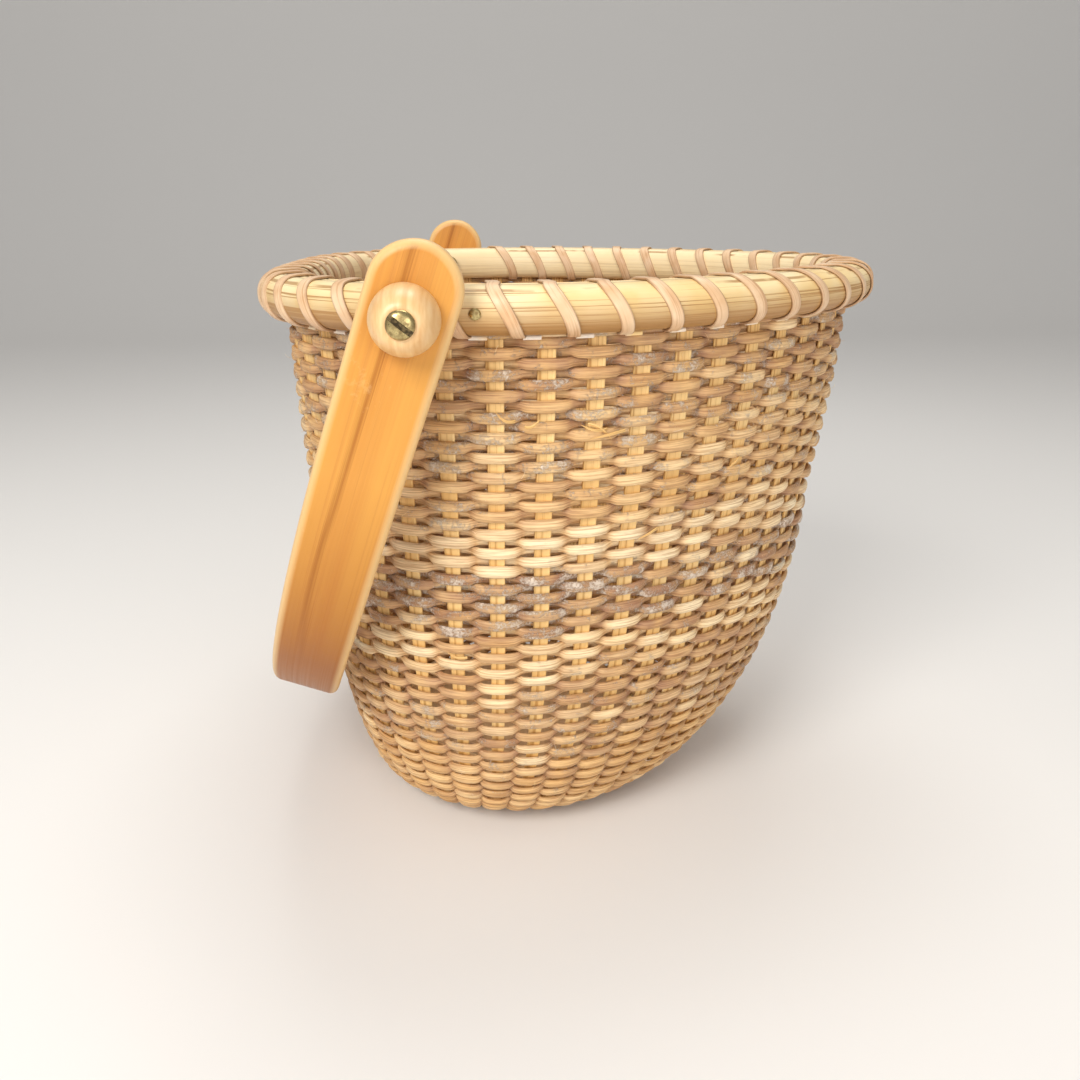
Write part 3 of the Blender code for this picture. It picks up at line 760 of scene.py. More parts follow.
MAKERS = {
    "weaver_cane": weaver_material,
    "splint": splint_material,
    "rattan": rattan_material,
    "binding_cane": binding_material,
    "handle_wood": handle_material,
    "turned_wood": turned_material,
    "base_wood": base_material,
    "aged_brass": brass_material,
    "slot_shade_brass": slot_shade_material,
    "fibre_and_gap_light": fuzz_and_gap_light_material,
}
made_materials = {}


def finish_of(context, name):
    """The named material, made the first time it is asked for."""
    if name not in made_materials:
        made_materials[name] = MAKERS[name](context.scene.basket_colors)
    return made_materials[name]


# ---------------------------------------------------------------- settings


def length_setting(name, description, default):
    return bpy.props.FloatProperty(
        name=name, description=description, default=default, min=0.0, precision=5, unit="LENGTH"
    )


def color_setting(name, description, default):
    return bpy.props.FloatVectorProperty(
        name=name, description=description, default=default, min=0.0, max=1.0, size=3, subtype="COLOR"
    )


class BasketSizes(bpy.types.PropertyGroup):
    weaver_width: length_setting("Weaver width", "Height of one round of cane", 2.6 * MM)
    weaver_rise: length_setting("Weaver rise", "How far a weaver's round face stands out", 1.0 * MM)
    row_pitch: length_setting("Row pitch", "Distance between rows of the weave", 2.74 * MM)
    start_pitch: length_setting("Start pitch", "Distance between the finer rows round the base", 2.0 * MM)
    weave_depth: length_setting("Weave depth", "How far a weaver swings to each side of the staves", 1.42 * MM)
    weave_inset: length_setting("Weave inset", "Middle of the weave behind the wall's face", 2.37 * MM)
    stave_width: length_setting("Stave width", "Width of a splint at the rim", 4.8 * MM)
    stave_foot: length_setting("Stave foot", "Width of a splint at the base", 3.2 * MM)
    stave_rise: length_setting("Stave rise", "Half of a splint's thickness", 0.45 * MM)
    lash_width: length_setting("Lashing width", "Width of the flat cane round the rim", 3.4 * MM)
    lash_rise: length_setting("Lashing rise", "Half of the flat cane's thickness", 0.35 * MM)
    strap_width: length_setting("Handle width", "Width of the handle at the pivots", 23.0 * MM)
    strap_arch_width: length_setting("Handle arch width", "Width of the handle's bar", 20.0 * MM)
    strap_edge: length_setting("Handle edge", "Radius of the handle's long edges", 2.6 * MM)
    knob_radius: length_setting("Knob radius", "Radius of a turned knob at its foot", 8.4 * MM)
    knob_height: length_setting("Knob height", "Height of a turned knob", 12.0 * MM)
    seed: bpy.props.IntProperty(name="Seed", description="Start of every random choice", default=7, min=0)


class BasketColors(bpy.types.PropertyGroup):
    weaver_gold: color_setting("Weaver gold", "Golden lengths of cane", (0.93, 0.585, 0.215))
    weaver_cream: color_setting("Weaver cream", "Pale lengths of cane", (0.98, 0.81, 0.53))
    # Mauve stain of some rows; the weave also uses it as painted shade in the pockets between staves.
    weaver_mauve_and_shade: color_setting("Weaver mauve", "Stained, brownish lengths of cane", (0.45, 0.245, 0.135))
    dust: color_setting("Dust", "Pale fuzz on the cane", (0.9, 0.79, 0.67))
    splint: color_setting("Splint", "Golden splint", (0.80, 0.48, 0.16))
    splint_pale: color_setting("Pale splint", "Lighter parts of the splints", (0.90, 0.64, 0.29))
    rattan: color_setting("Rattan", "Hoops of the rim", (0.86, 0.62, 0.28))
    rattan_pale: color_setting("Pale rattan", "Lighter parts of the hoops", (0.93, 0.78, 0.48))
    # Painted shade on the outer hoop's lower half, which faces down.
    rattan_shade_below: color_setting("Rattan below", "Browner lower half of the hoops", (0.42, 0.21, 0.06))
    # Dark streaks of the rattan; also the colour of the painted shadow line at the top of the rim.
    rattan_streak_and_seam_shadow: color_setting("Rattan streak", "Dark streaks of the hoops", (0.40, 0.20, 0.06))
    binding: color_setting("Binding cane", "Flat cane round the rim", (0.70, 0.44, 0.24))
    binding_pale: color_setting("Pale binding cane", "Lighter parts of the flat cane", (0.82, 0.60, 0.39))
    handle: color_setting("Handle", "Honey-coloured hardwood", (0.67, 0.315, 0.060))
    handle_deep: color_setting("Handle deep", "Deeper parts of the hardwood", (0.58, 0.235, 0.042))
    handle_grain: color_setting("Handle grain", "Fine grain lines", (0.48, 0.19, 0.04))
    # Colour of the dark streak, also used to darken the lower leg ends, partly as painted shade.
    handle_streak_and_shade: color_setting("Handle streak", "Dark streak down the handle", (0.33, 0.105, 0.010))
    # Pale colour of the scuffs, also the painted highlight on the handle's rounded edges.
    handle_scuff_and_highlight: color_setting("Handle edge", "Worn, pale edges", (0.84, 0.58, 0.27))
    knob: color_setting("Knob", "Turned hardwood", (0.70, 0.39, 0.15))
    knob_pale: color_setting("Pale knob", "Lighter parts of the turned wood", (0.86, 0.6, 0.31))
    base: color_setting("Base", "Board under the basket", (0.60, 0.38, 0.19))
    base_dark: color_setting("Base figure", "Dark figure of the board", (0.42, 0.24, 0.11))
    brass: color_setting("Brass", "Clean brass", (0.56, 0.45, 0.21))
    tarnish: color_setting("Tarnish", "Dull brass", (0.28, 0.2, 0.09))


class BasketStage(bpy.types.PropertyGroup):
    camera_spot: bpy.props.FloatVectorProperty(
        name="Camera place", description="Where the camera stands", size=3, subtype="TRANSLATION",
        default=(-3.2 * MM, -357.6 * MM, 197.4 * MM), precision=4, unit="LENGTH",
    )
    camera_pitch: bpy.props.FloatProperty(
        name="Camera pitch", description="How far the camera looks down", default=math.radians(18.3), subtype="ANGLE"
    )
    camera_yaw: bpy.props.FloatProperty(
        name="Camera yaw", description="Turn of the camera round the vertical", default=math.radians(-1.98), subtype="ANGLE"
    )
    camera_roll: bpy.props.FloatProperty(
        name="Camera roll", description="Turn of the camera round its view", default=math.radians(-0.42), subtype="ANGLE"
    )
    camera_lens: bpy.props.FloatProperty(
        name="Camera lens", description="Focal length on a 36 mm sensor", default=34.33, unit="CAMERA"
    )
    floor: color_setting("Floor", "Plain pale floor and backdrop", (0.86, 0.85, 0.84))
    key_power: bpy.props.FloatProperty(name="Key light", description="Power of the main lamp", default=9.6, min=0.0, unit="POWER")
    fill_power: bpy.props.FloatProperty(name="Fill light", description="Power of the second lamp", default=3.6, min=0.0, unit="POWER")
    top_power: bpy.props.FloatProperty(name="Top light", description="Power of the lamp overhead", default=3.0, min=0.0, unit="POWER")


# ---------------------------------------------------------------- weave and staves

# Rows counted down from under the rim: last row of the band, mauve, cream and dust shares
TONES = (
    (8.5, 0.62, 0.10, 0.60),
    (19.0, 0.30, 0.38, 0.55),
    (24.0, 0.10, 0.85, 0.30),
    (30.5, 0.85, 0.10, 0.85),
    (37.0, 0.06, 0.75, 0.25),
    (48.0, 0.60, 0.30, 0.45),
    (200.0, 0.42, 0.12, 0.25),
)


def row_tone(row, chance):
    """Mauve, cream and dust shares of one length of cane, with its own chance variation."""
    row += chance.uniform(-1.2, 1.2)
    mauve, cream, dust = next(tone[1:] for tone in TONES if row < tone[0] or tone is TONES[-1])
    if chance.random() < 0.12:
        mauve, cream = cream, mauve
    jitter = chance.uniform(-0.22, 0.22)
    return (
        min(1.0, max(0.0, mauve + jitter)),
        min(1.0, max(0.0, cream - jitter + chance.uniform(-0.15, 0.15))),
        min(1.0, max(0.0, dust + chance.uniform(-0.3, 0.3))),
    )


def weave_path(sizes, first_length, last_length, pitch, first_stave, samples, start_row, swell=0.0):
    """One long weaver wound down the wall, over one stave and under the next."""
    path = Path()
    turns = (last_length - first_length) / pitch
    total = int(turns * STAVES * samples)
    chance = random.Random(sizes.seed + start_row)
    tones, lifts, widths, leans = {}, {}, {}, {}
    for step in range(total + 1):
        stave = first_stave + step / samples
        length = first_length + pitch * step / samples / STAVES
        row = (length - HOOP_HEIGHT) / sizes.row_pitch
        number = math.floor(stave)
        for k in (number, number + 1):
            if k not in tones:
                tones[k] = row_tone(row, chance)
                lifts[k] = chance.uniform(-0.13, 0.13) * MM
                widths[k] = chance.uniform(0.92, 1.05)
                leans[k] = chance.uniform(-0.22, 0.22)
        part = stave - number - 0.5
        near, share = (number, 0.0)
        if part < 0 and number - 1 in tones:
            near, share = number - 1, -part
        elif part > 0:
            near, share = number + 1, part
        share = max(0.0, (share - 0.3) / 0.4) if share > 0.3 else 0.0
        other = tones[near]
        stain_and_shade = [a + (b - a) * share for a, b in zip(tones[number], other)]
        swing = math.cos(math.pi * (stave - 0.5))
        swing = 0.7 * math.tanh(3.2 * swing) / math.tanh(3.2) + 0.3 * swing
        # Painted shade: where the weaver crosses the gap between staves, its mauve share rises and its cream share
        # falls, darkening the pocket there.
        pocket_shade = 1 - abs(swing)
        stain_and_shade[0] = min(1.0, stain_and_shade[0] + 0.5 * pocket_shade)
        stain_and_shade[1] *= 1 - 0.7 * pocket_shade
        sag = 0.22 * MM * max(0.0, swing)
        place = place_at(length + sag + lifts[number] * math.cos(math.pi * part))
        spot, out = wall_spot(angle_at(stave), place)
        loose = min(1.0, max(0.0, (RIM_BOTTOM - spot.z) / (1.4 * MM)))
        depth = sizes.weave_depth + swell
        inset = (sizes.weave_inset - depth * swing) * loose + 0.9 * MM * (1 - loose)
        tilt = wall_spot(angle_at(stave), min(2.0, place + 0.01))[0] - spot
        lean = leans[number] * math.cos(math.pi * part) * loose
        facing = (out + tilt.normalized() * lean).normalized()
        fuller = 1 + 0.30 * abs(swing)
        path.add(spot - out * inset, facing, widths[number] * fuller, 1.0, stain_and_shade)
    return path, first_stave + total / samples


class BASKET_OT_weave(bpy.types.Operator):
    """Winds the cane of the wall, the rows between the hoops and the finer rows round the base"""

    bl_idname = "basket.weave"
    bl_label = "Weave"

    def execute(self, context):
        sizes = context.scene.basket_sizes
        cane = finish_of(context, "weaver_cane")
        top = length_at((RIM_TOP - 0.174) / STRAIGHT_DROP)
        middle = length_at(1.14)
        low = length_at(1.73)
        end = length_at(1.995)
        bands = (
            ("upper_weave", top, middle, sizes.row_pitch, ("woven_wall", "rim_band")),
            ("lower_weave", middle, low, sizes.row_pitch, ("turned_wall", "lower_wall")),
            ("start_weave", low, end, sizes.start_pitch, ("start_rows",)),
        )
        stave = 0.0
        for number, (name, first, last, pitch, nodes) in enumerate(bands):
            swell = 0.45 * MM if name == "start_weave" else 0.0
            path, stave = weave_path(sizes, first, last, pitch, stave, 8, number, swell)
            piece = sweep(name, path, cane, sizes.weaver_width * pitch / sizes.row_pitch, sizes.weaver_rise, 0.65, 0.8, 8)
            settle(piece, "basket", "start_cane" if name == "start_weave" else "weaver_cane", *nodes)
        return {"FINISHED"}


class BASKET_OT_staves(bpy.types.Operator):
    """Sets the splints from the groove of the base to between the hoops"""

    bl_idname = "basket.staves"
    bl_label = "Staves"

    def execute(self, context):
        sizes = context.scene.basket_sizes
        path = Path()
        first = (RIM_TOP - 0.1745) / STRAIGHT_DROP
        for number in range(STAVES):
            angle = angle_at(number + 0.5)
            for step in range(49):
                place = first + (1.995 - first) * step / 48
                spot, out = wall_spot(angle, place)
                narrow = ((RIM_TOP - spot.z) / (STRAIGHT_DROP + TURN_DROP)) ** 2
                wide = 1 + (sizes.stave_foot / sizes.stave_width - 1) * narrow
                path.add(spot - out * 2.2 * MM, out, wide, 1.0, joined=step > 0)
        piece = sweep("staves_dressed", path, finish_of(context, "splint"), sizes.stave_width, sizes.stave_rise, 1.0, 0.35, 12)
        settle(piece, "basket", "splint", "staves")
        return {"FINISHED"}


# ---------------------------------------------------------------- base


def loft(shape, rings, capped=True):
    """Skins a row of like rings and caps both ends."""
    rows = [[shape.verts.new(point) for point in ring] for ring in rings]
    for ring, following in zip(rows, rows[1:]):
        for k in range(len(ring)):
            j = (k + 1) % len(ring)
            shape.faces.new((ring[k], ring[j], following[j], following[k]))
    if capped:
        shape.faces.new(rows[0])
        shape.faces.new(rows[-1])


def shape_object(name, build, material, crease=40.0):
    """An object from what build adds to an empty shape, with its faces turned outwards."""
    shape = bmesh.new()
    build(shape)
    bmesh.ops.remove_doubles(shape, verts=shape.verts, dist=1e-7)
    bmesh.ops.recalc_face_normals(shape, faces=shape.faces)
    mesh = bpy.data.meshes.new(name)
    shape.to_mesh(mesh)
    shape.free()
    mesh.shade_smooth()
    mesh.set_sharp_from_angle(angle=math.radians(crease))
    mesh.materials.append(material)
    return link_object(name, mesh)


class BASKET_OT_base(bpy.types.Operator):
    """Turns the oval base board with its groove, shallow lathe rings and the hole for its plug, and gives the plug and
    spacers their turned wood
    """

    bl_idname = "basket.base"
    bl_label = "Base"

    def execute(self, context):
        groove_low, groove_high = WEAVE_LIFT - 0.3 * MM, WEAVE_LIFT + 3.7 * MM
        section = [(1.2, 0.0), (0.35, 0.2), (0.0, 0.9)]
        section = [(a * MM, z * MM) for a, z in section]
        section += [(0.0, groove_low), (GROOVE_DEPTH, groove_low), (GROOVE_DEPTH, groove_high), (0.0, groove_high)]
        top = BASE_THICKNESS
        section += [(0.0, top - 1.2 * MM), (0.25 * MM, top - 0.45 * MM), (0.9 * MM, top - 0.05 * MM), (1.6 * MM, top)]
        for middle in (8.0, 9.6, 22.0, 23.6):
            for off, sink in ((-0.6, 0.0), (-0.25, 0.22), (0.25, 0.22), (0.6, 0.0)):
                section.append(((middle + off) * MM, top - sink * MM))
        hole = 6.35 * MM

        def build(shape):
            rings = []
            count = 144
            for inset, z in section:
                ring = []
                for k in range(count):
                    angle = math.tau * k / count
                    reach = base_reach(angle) - inset
                    ring.append(Vector((reach * math.cos(angle), reach * math.sin(angle), z)))
                rings.append(ring)
            for z in (top, top - 4.2 * MM):
                rings.append(
                    [Vector((hole * math.cos(math.tau * k / count), hole * math.sin(math.tau * k / count), z)) for k in range(count)]
                )
            loft(shape, rings)

        board = shape_object("base_dressed", build, finish_of(context, "base_wood"), 30.0)
        settle(board, "basket", "base_wood", "base_board")
        for node in ("base_plug", "near_spacer", "far_spacer"):
            paint(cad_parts[node], finish_of(context, "turned_wood"))
        return {"FINISHED"}


def paint(obj, material):
    """Gives a kept solid its material in every slot."""
    if not obj.material_slots:
        obj.data.materials.append(material)
    for slot in obj.material_slots:
        slot.material = material


# ---------------------------------------------------------------- rim


def ring_path(inset, z, outward, count=270):
    """A closed path round the rim that faces outwards or inwards."""
    path = Path()
    for k in range(count):
        stave = STAVES * k / count
        angle = angle_at(stave)
        ahead = plan_point(angle_at(stave + 0.05), inset, z)
        behind = plan_point(angle_at(stave - 0.05), inset, z)
        run = (ahead - behind).normalized()
        out = Vector((run.y, -run.x, 0))
        path.add(plan_point(angle, inset, z), out if outward else -out, stain_and_shade=(0.0 if outward else 1.0, 0.0, 0.0))
    path.close()
    return path


class BASKET_OT_hoops(bpy.types.Operator):
    """Bends the half-round hoops of the rim and the filler between them, and lays a pale strip below as painted light
    seen through the gap under the hoops
    """

    bl_idname = "basket.hoops"
    bl_label = "Hoops"

    def execute(self, context):
        rattan = finish_of(context, "rattan")
        outer = sweep("outer_hoop_dressed", ring_path(HOOP_BACK, HOOP_MIDDLE, True), rattan, HOOP_SEEN, OUTER_BULGE, 0.0, 0.94, 32)
        settle(outer, "basket", "rattan", "outer_hoop")
        inner = sweep("inner_hoop_dressed", ring_path(INNER_BACK, HOOP_MIDDLE, False), rattan, HOOP_SEEN, INNER_BULGE, 0.0, 0.94, 28)
        settle(inner, "basket", "rattan", "inner_hoop")
        filler = sweep("rim_filler_dressed", ring_path(1.75 * MM, RIM_TOP - 1.2 * MM, True), rattan, 2.3 * MM, 1.7 * MM, 1.0, 0.45, 12)
        settle(filler, "basket", "rattan", "rim_filler")
        # Painted light: a pale strip just under the outer hoop, broken at the staves, stands for light seen through the
        # gap between the hoop and the first row.
        path = Path()
        for gap in range(STAVES):
            for step in range(5):
                stave = gap + 0.06 + 0.34 * step / 4
                angle = angle_at(stave)
                path.add(plan_point(angle, 0.1 * MM, RIM_BOTTOM - 0.15 * MM), Vector((math.cos(angle), math.sin(angle), 0)), joined=step > 0)
        strip = sweep("rim_gap_light_strip", path, finish_of(context, "fibre_and_gap_light"), 1.2 * MM, 0.5 * MM, 1.0, 0.6, 8)
        settle(strip, "basket", "splint")
        return {"FINISHED"}


def lash_route(clear, count=48):
    """Closed route round both hoops at this clearance, as inset, height and outward direction."""
    half = HOOP_SEEN / 2
    corners = []

    def arc(back, bulge, start):
        points = []
        for k in range(count // 2):
            turn = math.pi * (k + 0.5) / (count // 2) - math.pi / 2
            x = math.cos(turn) ** 0.94
            y = math.copysign(abs(math.sin(turn)) ** 0.94, math.sin(turn))
            points.append((back + bulge * x, half * y))
        return points if start < 0 else points[::-1]

    corners = arc(HOOP_BACK, -OUTER_BULGE, -1) + arc(INNER_BACK, INNER_BULGE, 1)
    route = []
    for k, (inset, z) in enumerate(corners):
        before, after = corners[k - 1], corners[(k + 1) % len(corners)]
        run_inset, run_z = after[0] - before[0], after[1] - before[1]
        length = math.hypot(run_inset, run_z)
        out = (-run_z / length, run_inset / length)
        route.append((inset + out[0] * clear, z + out[1] * clear, out, k < len(corners) // 2))
    return route


def lash_path(first, last, clear):
    """Flat cane wound round the rim, one wrap in each gap between staves."""
    path = Path()
    half = HOOP_SEEN / 2
    route = lash_route(clear)
    for gap in range(first, last - 1, -1):
        for inset, z, out, outside in route:
            rise = min(1.0, max(0.0, (z + half) / HOOP_SEEN))
            gone_by = 0.44 * rise**1.6 if outside else 1 - 0.44 * rise**1.6
            if gap == last and not outside and rise < 0.8:
                break
            angle = angle_at(gap - gone_by)
            here = plan_point(angle, inset, HOOP_MIDDLE + z)
            there = plan_point(angle, inset + out[0] * MM, HOOP_MIDDLE + z + out[1] * MM)
            path.add(here, (there - here).normalized())
    return path


class BASKET_OT_lashing(bpy.types.Operator):
    """Winds the flat cane round the rim in front of and behind the pivots"""

    bl_idname = "basket.lashing"
    bl_label = "Lashing"

    def execute(self, context):
        sizes = context.scene.basket_sizes
        cane = finish_of(context, "binding_cane")
        for name, first, last in (
            ("front_lashing", PIVOT_GAP - 1, 1 - PIVOT_GAP),
            ("back_lashing", STAVES - PIVOT_GAP - 1, PIVOT_GAP + 1),
        ):
            path = lash_path(first, last, sizes.lash_rise + 0.08 * MM)
            piece = sweep(name + "_dressed", path, cane, sizes.lash_width, sizes.lash_rise, 1.0, 0.45, 10)
            settle(piece, "basket", "binding_cane", name)
        return {"FINISHED"}


# ---------------------------------------------------------------- handle

PIVOT_X = plan_point(angle_at(PIVOT_GAP), HOOP_BACK, 0).x


def strap_spot(s, x, t, half_length):
    """Place in the basket of a point of the strap, from its run, width and thickness."""
    side, s = (-1, s) if s <= half_length else (1, 2 * half_length - s)
    straight = STRAP_OVERHANG + LEG_LENGTH
    bend = ARCH_RADIUS * math.pi / 2
    if s <= straight:
        y, z = LEG_Y + t, STRAP_OVERHANG - s
    elif s <= straight + bend:
        turn = (s - straight) / ARCH_RADIUS
        y = LEG_Y - ARCH_RADIUS * (1 - math.cos(turn)) + t * math.cos(turn)
        z = -LEG_LENGTH - ARCH_RADIUS * math.sin(turn) - t * math.sin(turn)
    else:
        y, z = LEG_Y - ARCH_RADIUS - (s - straight - bend), -LEG_LENGTH - ARCH_RADIUS - t
    cos, sin = math.cos(REST_ANGLE), math.sin(REST_ANGLE)
    return Vector((PIVOT_X + x * cos + z * sin, side * y, PIVOT_Z - x * sin + z * cos))


def drilled(obj, centre, direction, radius, length):
    """Cuts a round hole through the piece."""
    shape = bmesh.new()
    bmesh.ops.create_cone(shape, cap_ends=True, segments=32, radius1=radius, radius2=radius, depth=length)
    mesh = bpy.data.meshes.new("drill")
    shape.to_mesh(mesh)
    shape.free()
    mesh.transform(Matrix.Translation(centre) @ direction.to_track_quat("Z", "Y").to_matrix().to_4x4())
    drill = link_object("drill", mesh)
    boolean = obj.modifiers.new("hole", "BOOLEAN")
    boolean.operation = "DIFFERENCE"
    boolean.solver = "EXACT"
    boolean.object = drill
    bake(obj)
    bpy.data.objects.remove(drill)
    return obj


class BASKET_OT_handle(bpy.types.Operator):
    """Bends the handle's strap with its rounded tips and edges"""

    bl_idname = "basket.handle"
    bl_label = "Handle"

    def execute(self, context):
        sizes = context.scene.basket_sizes
        straight = STRAP_OVERHANG + LEG_LENGTH
        bend = ARCH_RADIUS * math.pi / 2
        half_length = straight + bend + LEG_Y - ARCH_RADIUS
        tip = sizes.strap_width / 2

        def half_width(s):
            s = min(s, 2 * half_length - s)
            share = min(1.0, max(0.0, (s - STRAP_OVERHANG) / (straight + bend - STRAP_OVERHANG)))
            wide = (sizes.strap_width + (sizes.strap_arch_width - sizes.strap_width) * share) / 2
            if s < tip:
                wide *= max(0.0, 1 - (1 - s / tip) ** 2.1) ** 0.54
            return wide

        stations = [tip * (1 - math.cos(math.pi / 2 * k / 14)) for k in range(14)]
        stations += [tip + (straight - tip) * k / 12 for k in range(12)]
        stations += [straight + bend * k / 44 for k in range(44)]
        stations += [straight + bend + (half_length - straight - bend) * k / 2 for k in range(3)]
        stations += [2 * half_length - s for s in stations[-2::-1]]
        edge, half = sizes.strap_edge, STRAP_THICKNESS / 2
        turns = [math.pi / 2 * k / 6 for k in range(7)]
        section = [(half - edge + edge * math.cos(b), edge * (1 - math.sin(b)), math.sin(b)) for b in turns]
        section += [(-t, d, r) for t, d, r in section[::-1]]
        spots, grain, rounded = [], [], []
        for s in stations:
            step = 0.02 * MM
            ends = (s < step, s > 2 * half_length - step)
            if any(ends):
                out = Vector((-1.0 if ends[0] else 1.0, 0.0))
            else:
                ahead, behind = half_width(s + step), half_width(s - step)
                out = Vector((-(ahead - behind), 2 * step)).normalized()
            for side in (1, -1):
                for t, d, r in section if side > 0 else section[::-1]:
                    run = s - d * out.x
                    across = side * max(0.0, half_width(s) - d * out.y)
                    spots.append(strap_spot(run, across, t, half_length))
                    grain.append((run, across, t))
                    rounded.append(r)
        ring = 2 * len(section)
        faces = []
        for k in range(len(stations) - 1):
            for j in range(ring):
                i = (j + 1) % ring
                faces.append((k * ring + j, k * ring + i, (k + 1) * ring + i, (k + 1) * ring + j))
        mesh = bpy.data.meshes.new("handle_dressed")
        mesh.from_pydata(spots, [], faces)
        mesh.attributes.new("grain", "FLOAT_VECTOR", "POINT").data.foreach_set("vector", [n for g in grain for n in g])
        mesh.attributes.new("rounded", "FLOAT", "POINT").data.foreach_set("value", rounded)
        shape = bmesh.new()
        shape.from_mesh(mesh)
        bmesh.ops.remove_doubles(shape, verts=shape.verts, dist=2e-6)
        bmesh.ops.dissolve_degenerate(shape, edges=shape.edges, dist=1e-7)
        bmesh.ops.recalc_face_normals(shape, faces=shape.faces)
        shape.to_mesh(mesh)
        shape.free()
        mesh.shade_smooth()
        mesh.set_sharp_from_angle(angle=math.radians(35))
        mesh.materials.append(finish_of(context, "handle_wood"))
        handle = link_object("handle_dressed", mesh)
        drilled(handle, Vector((PIVOT_X, 0, PIVOT_Z)), Vector((0, 1, 0)), 1.9 * MM, 0.3)
        settle(handle, "handle", "maple", "handle")
        return {"FINISHED"}


# ---------------------------------------------------------------- knobs and brass


def turned_piece(name, profile, middle, direction, material, steps=64, crease=40.0):
    """A turned piece: a closed profile of radius and height, spun round its axis."""

    def build(shape):
        rows = []
        for radius, z in profile:
            if radius < 1e-6:
                rows.append([shape.verts.new((0, 0, z))] * steps)
            else:
                rows.append(
                    [shape.verts.new((radius * math.cos(math.tau * k / steps), radius * math.sin(math.tau * k / steps), z)) for k in range(steps)]
                )
        spans = list(zip(rows, rows[1:]))
        if profile[0][0] > 1e-6:
            spans.append((rows[-1], rows[0]))
        for ring, following in spans:
            for k in range(steps):
                j = (k + 1) % steps
                corners = []
                for vert in (ring[k], ring[j], following[j], following[k]):
                    if vert not in corners:
                        corners.append(vert)
                shape.faces.new(corners)

    obj = shape_object(name, build, material, crease)
    obj.data.transform(Matrix.Translation(middle) @ direction.to_track_quat("Z", "Y").to_matrix().to_4x4())
    return obj


def rounded_profile(points, radius, steps=4):
    """The profile with each corner between its straight runs rounded."""
    made = []
    for k, (r, z) in enumerate(points):
        here = Vector((r, z))
        before, after = Vector(points[k - 1]), Vector(points[(k + 1) % len(points)])
        towards, onwards = (before - here), (after - here)
        cut = min(radius, towards.length / 2.2, onwards.length / 2.2)
        start, end = here + towards.normalized() * cut, here + onwards.normalized() * cut
        for j in range(steps + 1):
            f = j / steps
            made.append(tuple(start * (1 - f) ** 2 + here * 2 * f * (1 - f) + end * f**2))
    return made


class BASKET_OT_knobs(bpy.types.Operator):
    """Turns the two wooden knobs outside the handle"""

    bl_idname = "basket.knobs"
    bl_label = "Knobs"

    def execute(self, context):
        sizes = context.scene.basket_sizes
        for label, side in (("near", -1), ("far", 1)):
            low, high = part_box(label + "_knob")
            seat = high.y if side < 0 else low.y
            bore, land, foot = 1.9 * MM, 3.3 * MM, 1.5 * MM
            profile = [(bore, sizes.knob_height - 0.4 * MM), (bore + 0.3 * MM, sizes.knob_height)]
            for k in range(25):
                turn = math.pi / 2 * k / 24
                profile.append(
                    (
                        land + (sizes.knob_radius - land) * math.sin(turn) ** 1.0,
                        foot + (sizes.knob_height - foot) * math.cos(turn) ** 0.96,
                    )
                )
            profile += [(sizes.knob_radius - 0.12 * MM, 0.7 * MM), (sizes.knob_radius - 0.5 * MM, 0.12 * MM), (sizes.knob_radius - 0.9 * MM, 0.0), (bore, 0.0)]
            knob = turned_piece(
                label + "_knob_dressed", profile, Vector((PIVOT_X, seat, PIVOT_Z)), Vector((0, side, 0)), finish_of(context, "turned_wood")
            )
            settle(knob, "basket", "maple", label + "_knob")
        return {"FINISHED"}


class BASKET_OT_brass(bpy.types.Operator):
    """Fits the slotted bolts and gives the washers and nails of the rim their aged brass"""

    bl_idname = "basket.brass"
    bl_label = "Brass"

    def execute(self, context):
        brass = finish_of(context, "aged_brass")
        radius, dome, shank = 3.35 * MM, 1.8 * MM, 1.6 * MM
        for label, side in (("near", -1), ("far", 1)):
            low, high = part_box(label + "_bolt")
            seat = (low.y + dome) if side < 0 else (high.y - dome)
            length = (high.y - seat) if side < 0 else (seat - low.y)
            profile = [(0.0, dome)]
            for k in range(1, 17):
                turn = math.pi / 2 * k / 16
                profile.append((radius * math.sin(turn), 0.25 * MM + (dome - 0.25 * MM) * math.cos(turn)))
            profile += [(radius - 0.05 * MM, 0.0), (shank, 0.0), (shank, -length + 0.3 * MM), (shank - 0.3 * MM, -length), (0.0, -length)]
            bolt = turned_piece(label + "_bolt_dressed", profile, Vector((0, 0, 0)), Vector((0, 0, 1)), brass)
            slot = bmesh.new()
            bmesh.ops.create_cube(slot, size=1.0)
            bmesh.ops.scale(slot, vec=(12 * MM, 1.35 * MM, 2.8 * MM), verts=slot.verts)
            bmesh.ops.translate(slot, vec=(0, 0, dome + 0.1 * MM), verts=slot.verts)
            mesh = bpy.data.meshes.new("slot")
            slot.to_mesh(mesh)
            slot.free()
            mesh.transform(Matrix.Rotation(math.radians(-39), 4, "Z"))
            # The faces cut by the slot take its painted shade.
            mesh.materials.append(finish_of(context, "slot_shade_brass"))
            cutter = link_object("slot", mesh)
            boolean = bolt.modifiers.new("slot", "BOOLEAN")
            boolean.operation, boolean.solver, boolean.object = "DIFFERENCE", "EXACT", cutter
            boolean.material_mode = "TRANSFER"
            bake(bolt)
            bpy.data.objects.remove(cutter)
            turn = Vector((0, side, 0)).to_track_quat("Z", "Y").to_matrix().to_4x4()
            bolt.data.transform(Matrix.Translation(Vector((PIVOT_X, seat, PIVOT_Z))) @ turn)
            bolt.data.set_sharp_from_angle(angle=math.radians(35))
            settle(bolt, "basket", "brass", label + "_bolt")
            for part in ("_burr", "_nail"):
                paint(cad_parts[label + part], brass)
        return {"FINISHED"}


# ---------------------------------------------------------------- loose fibres


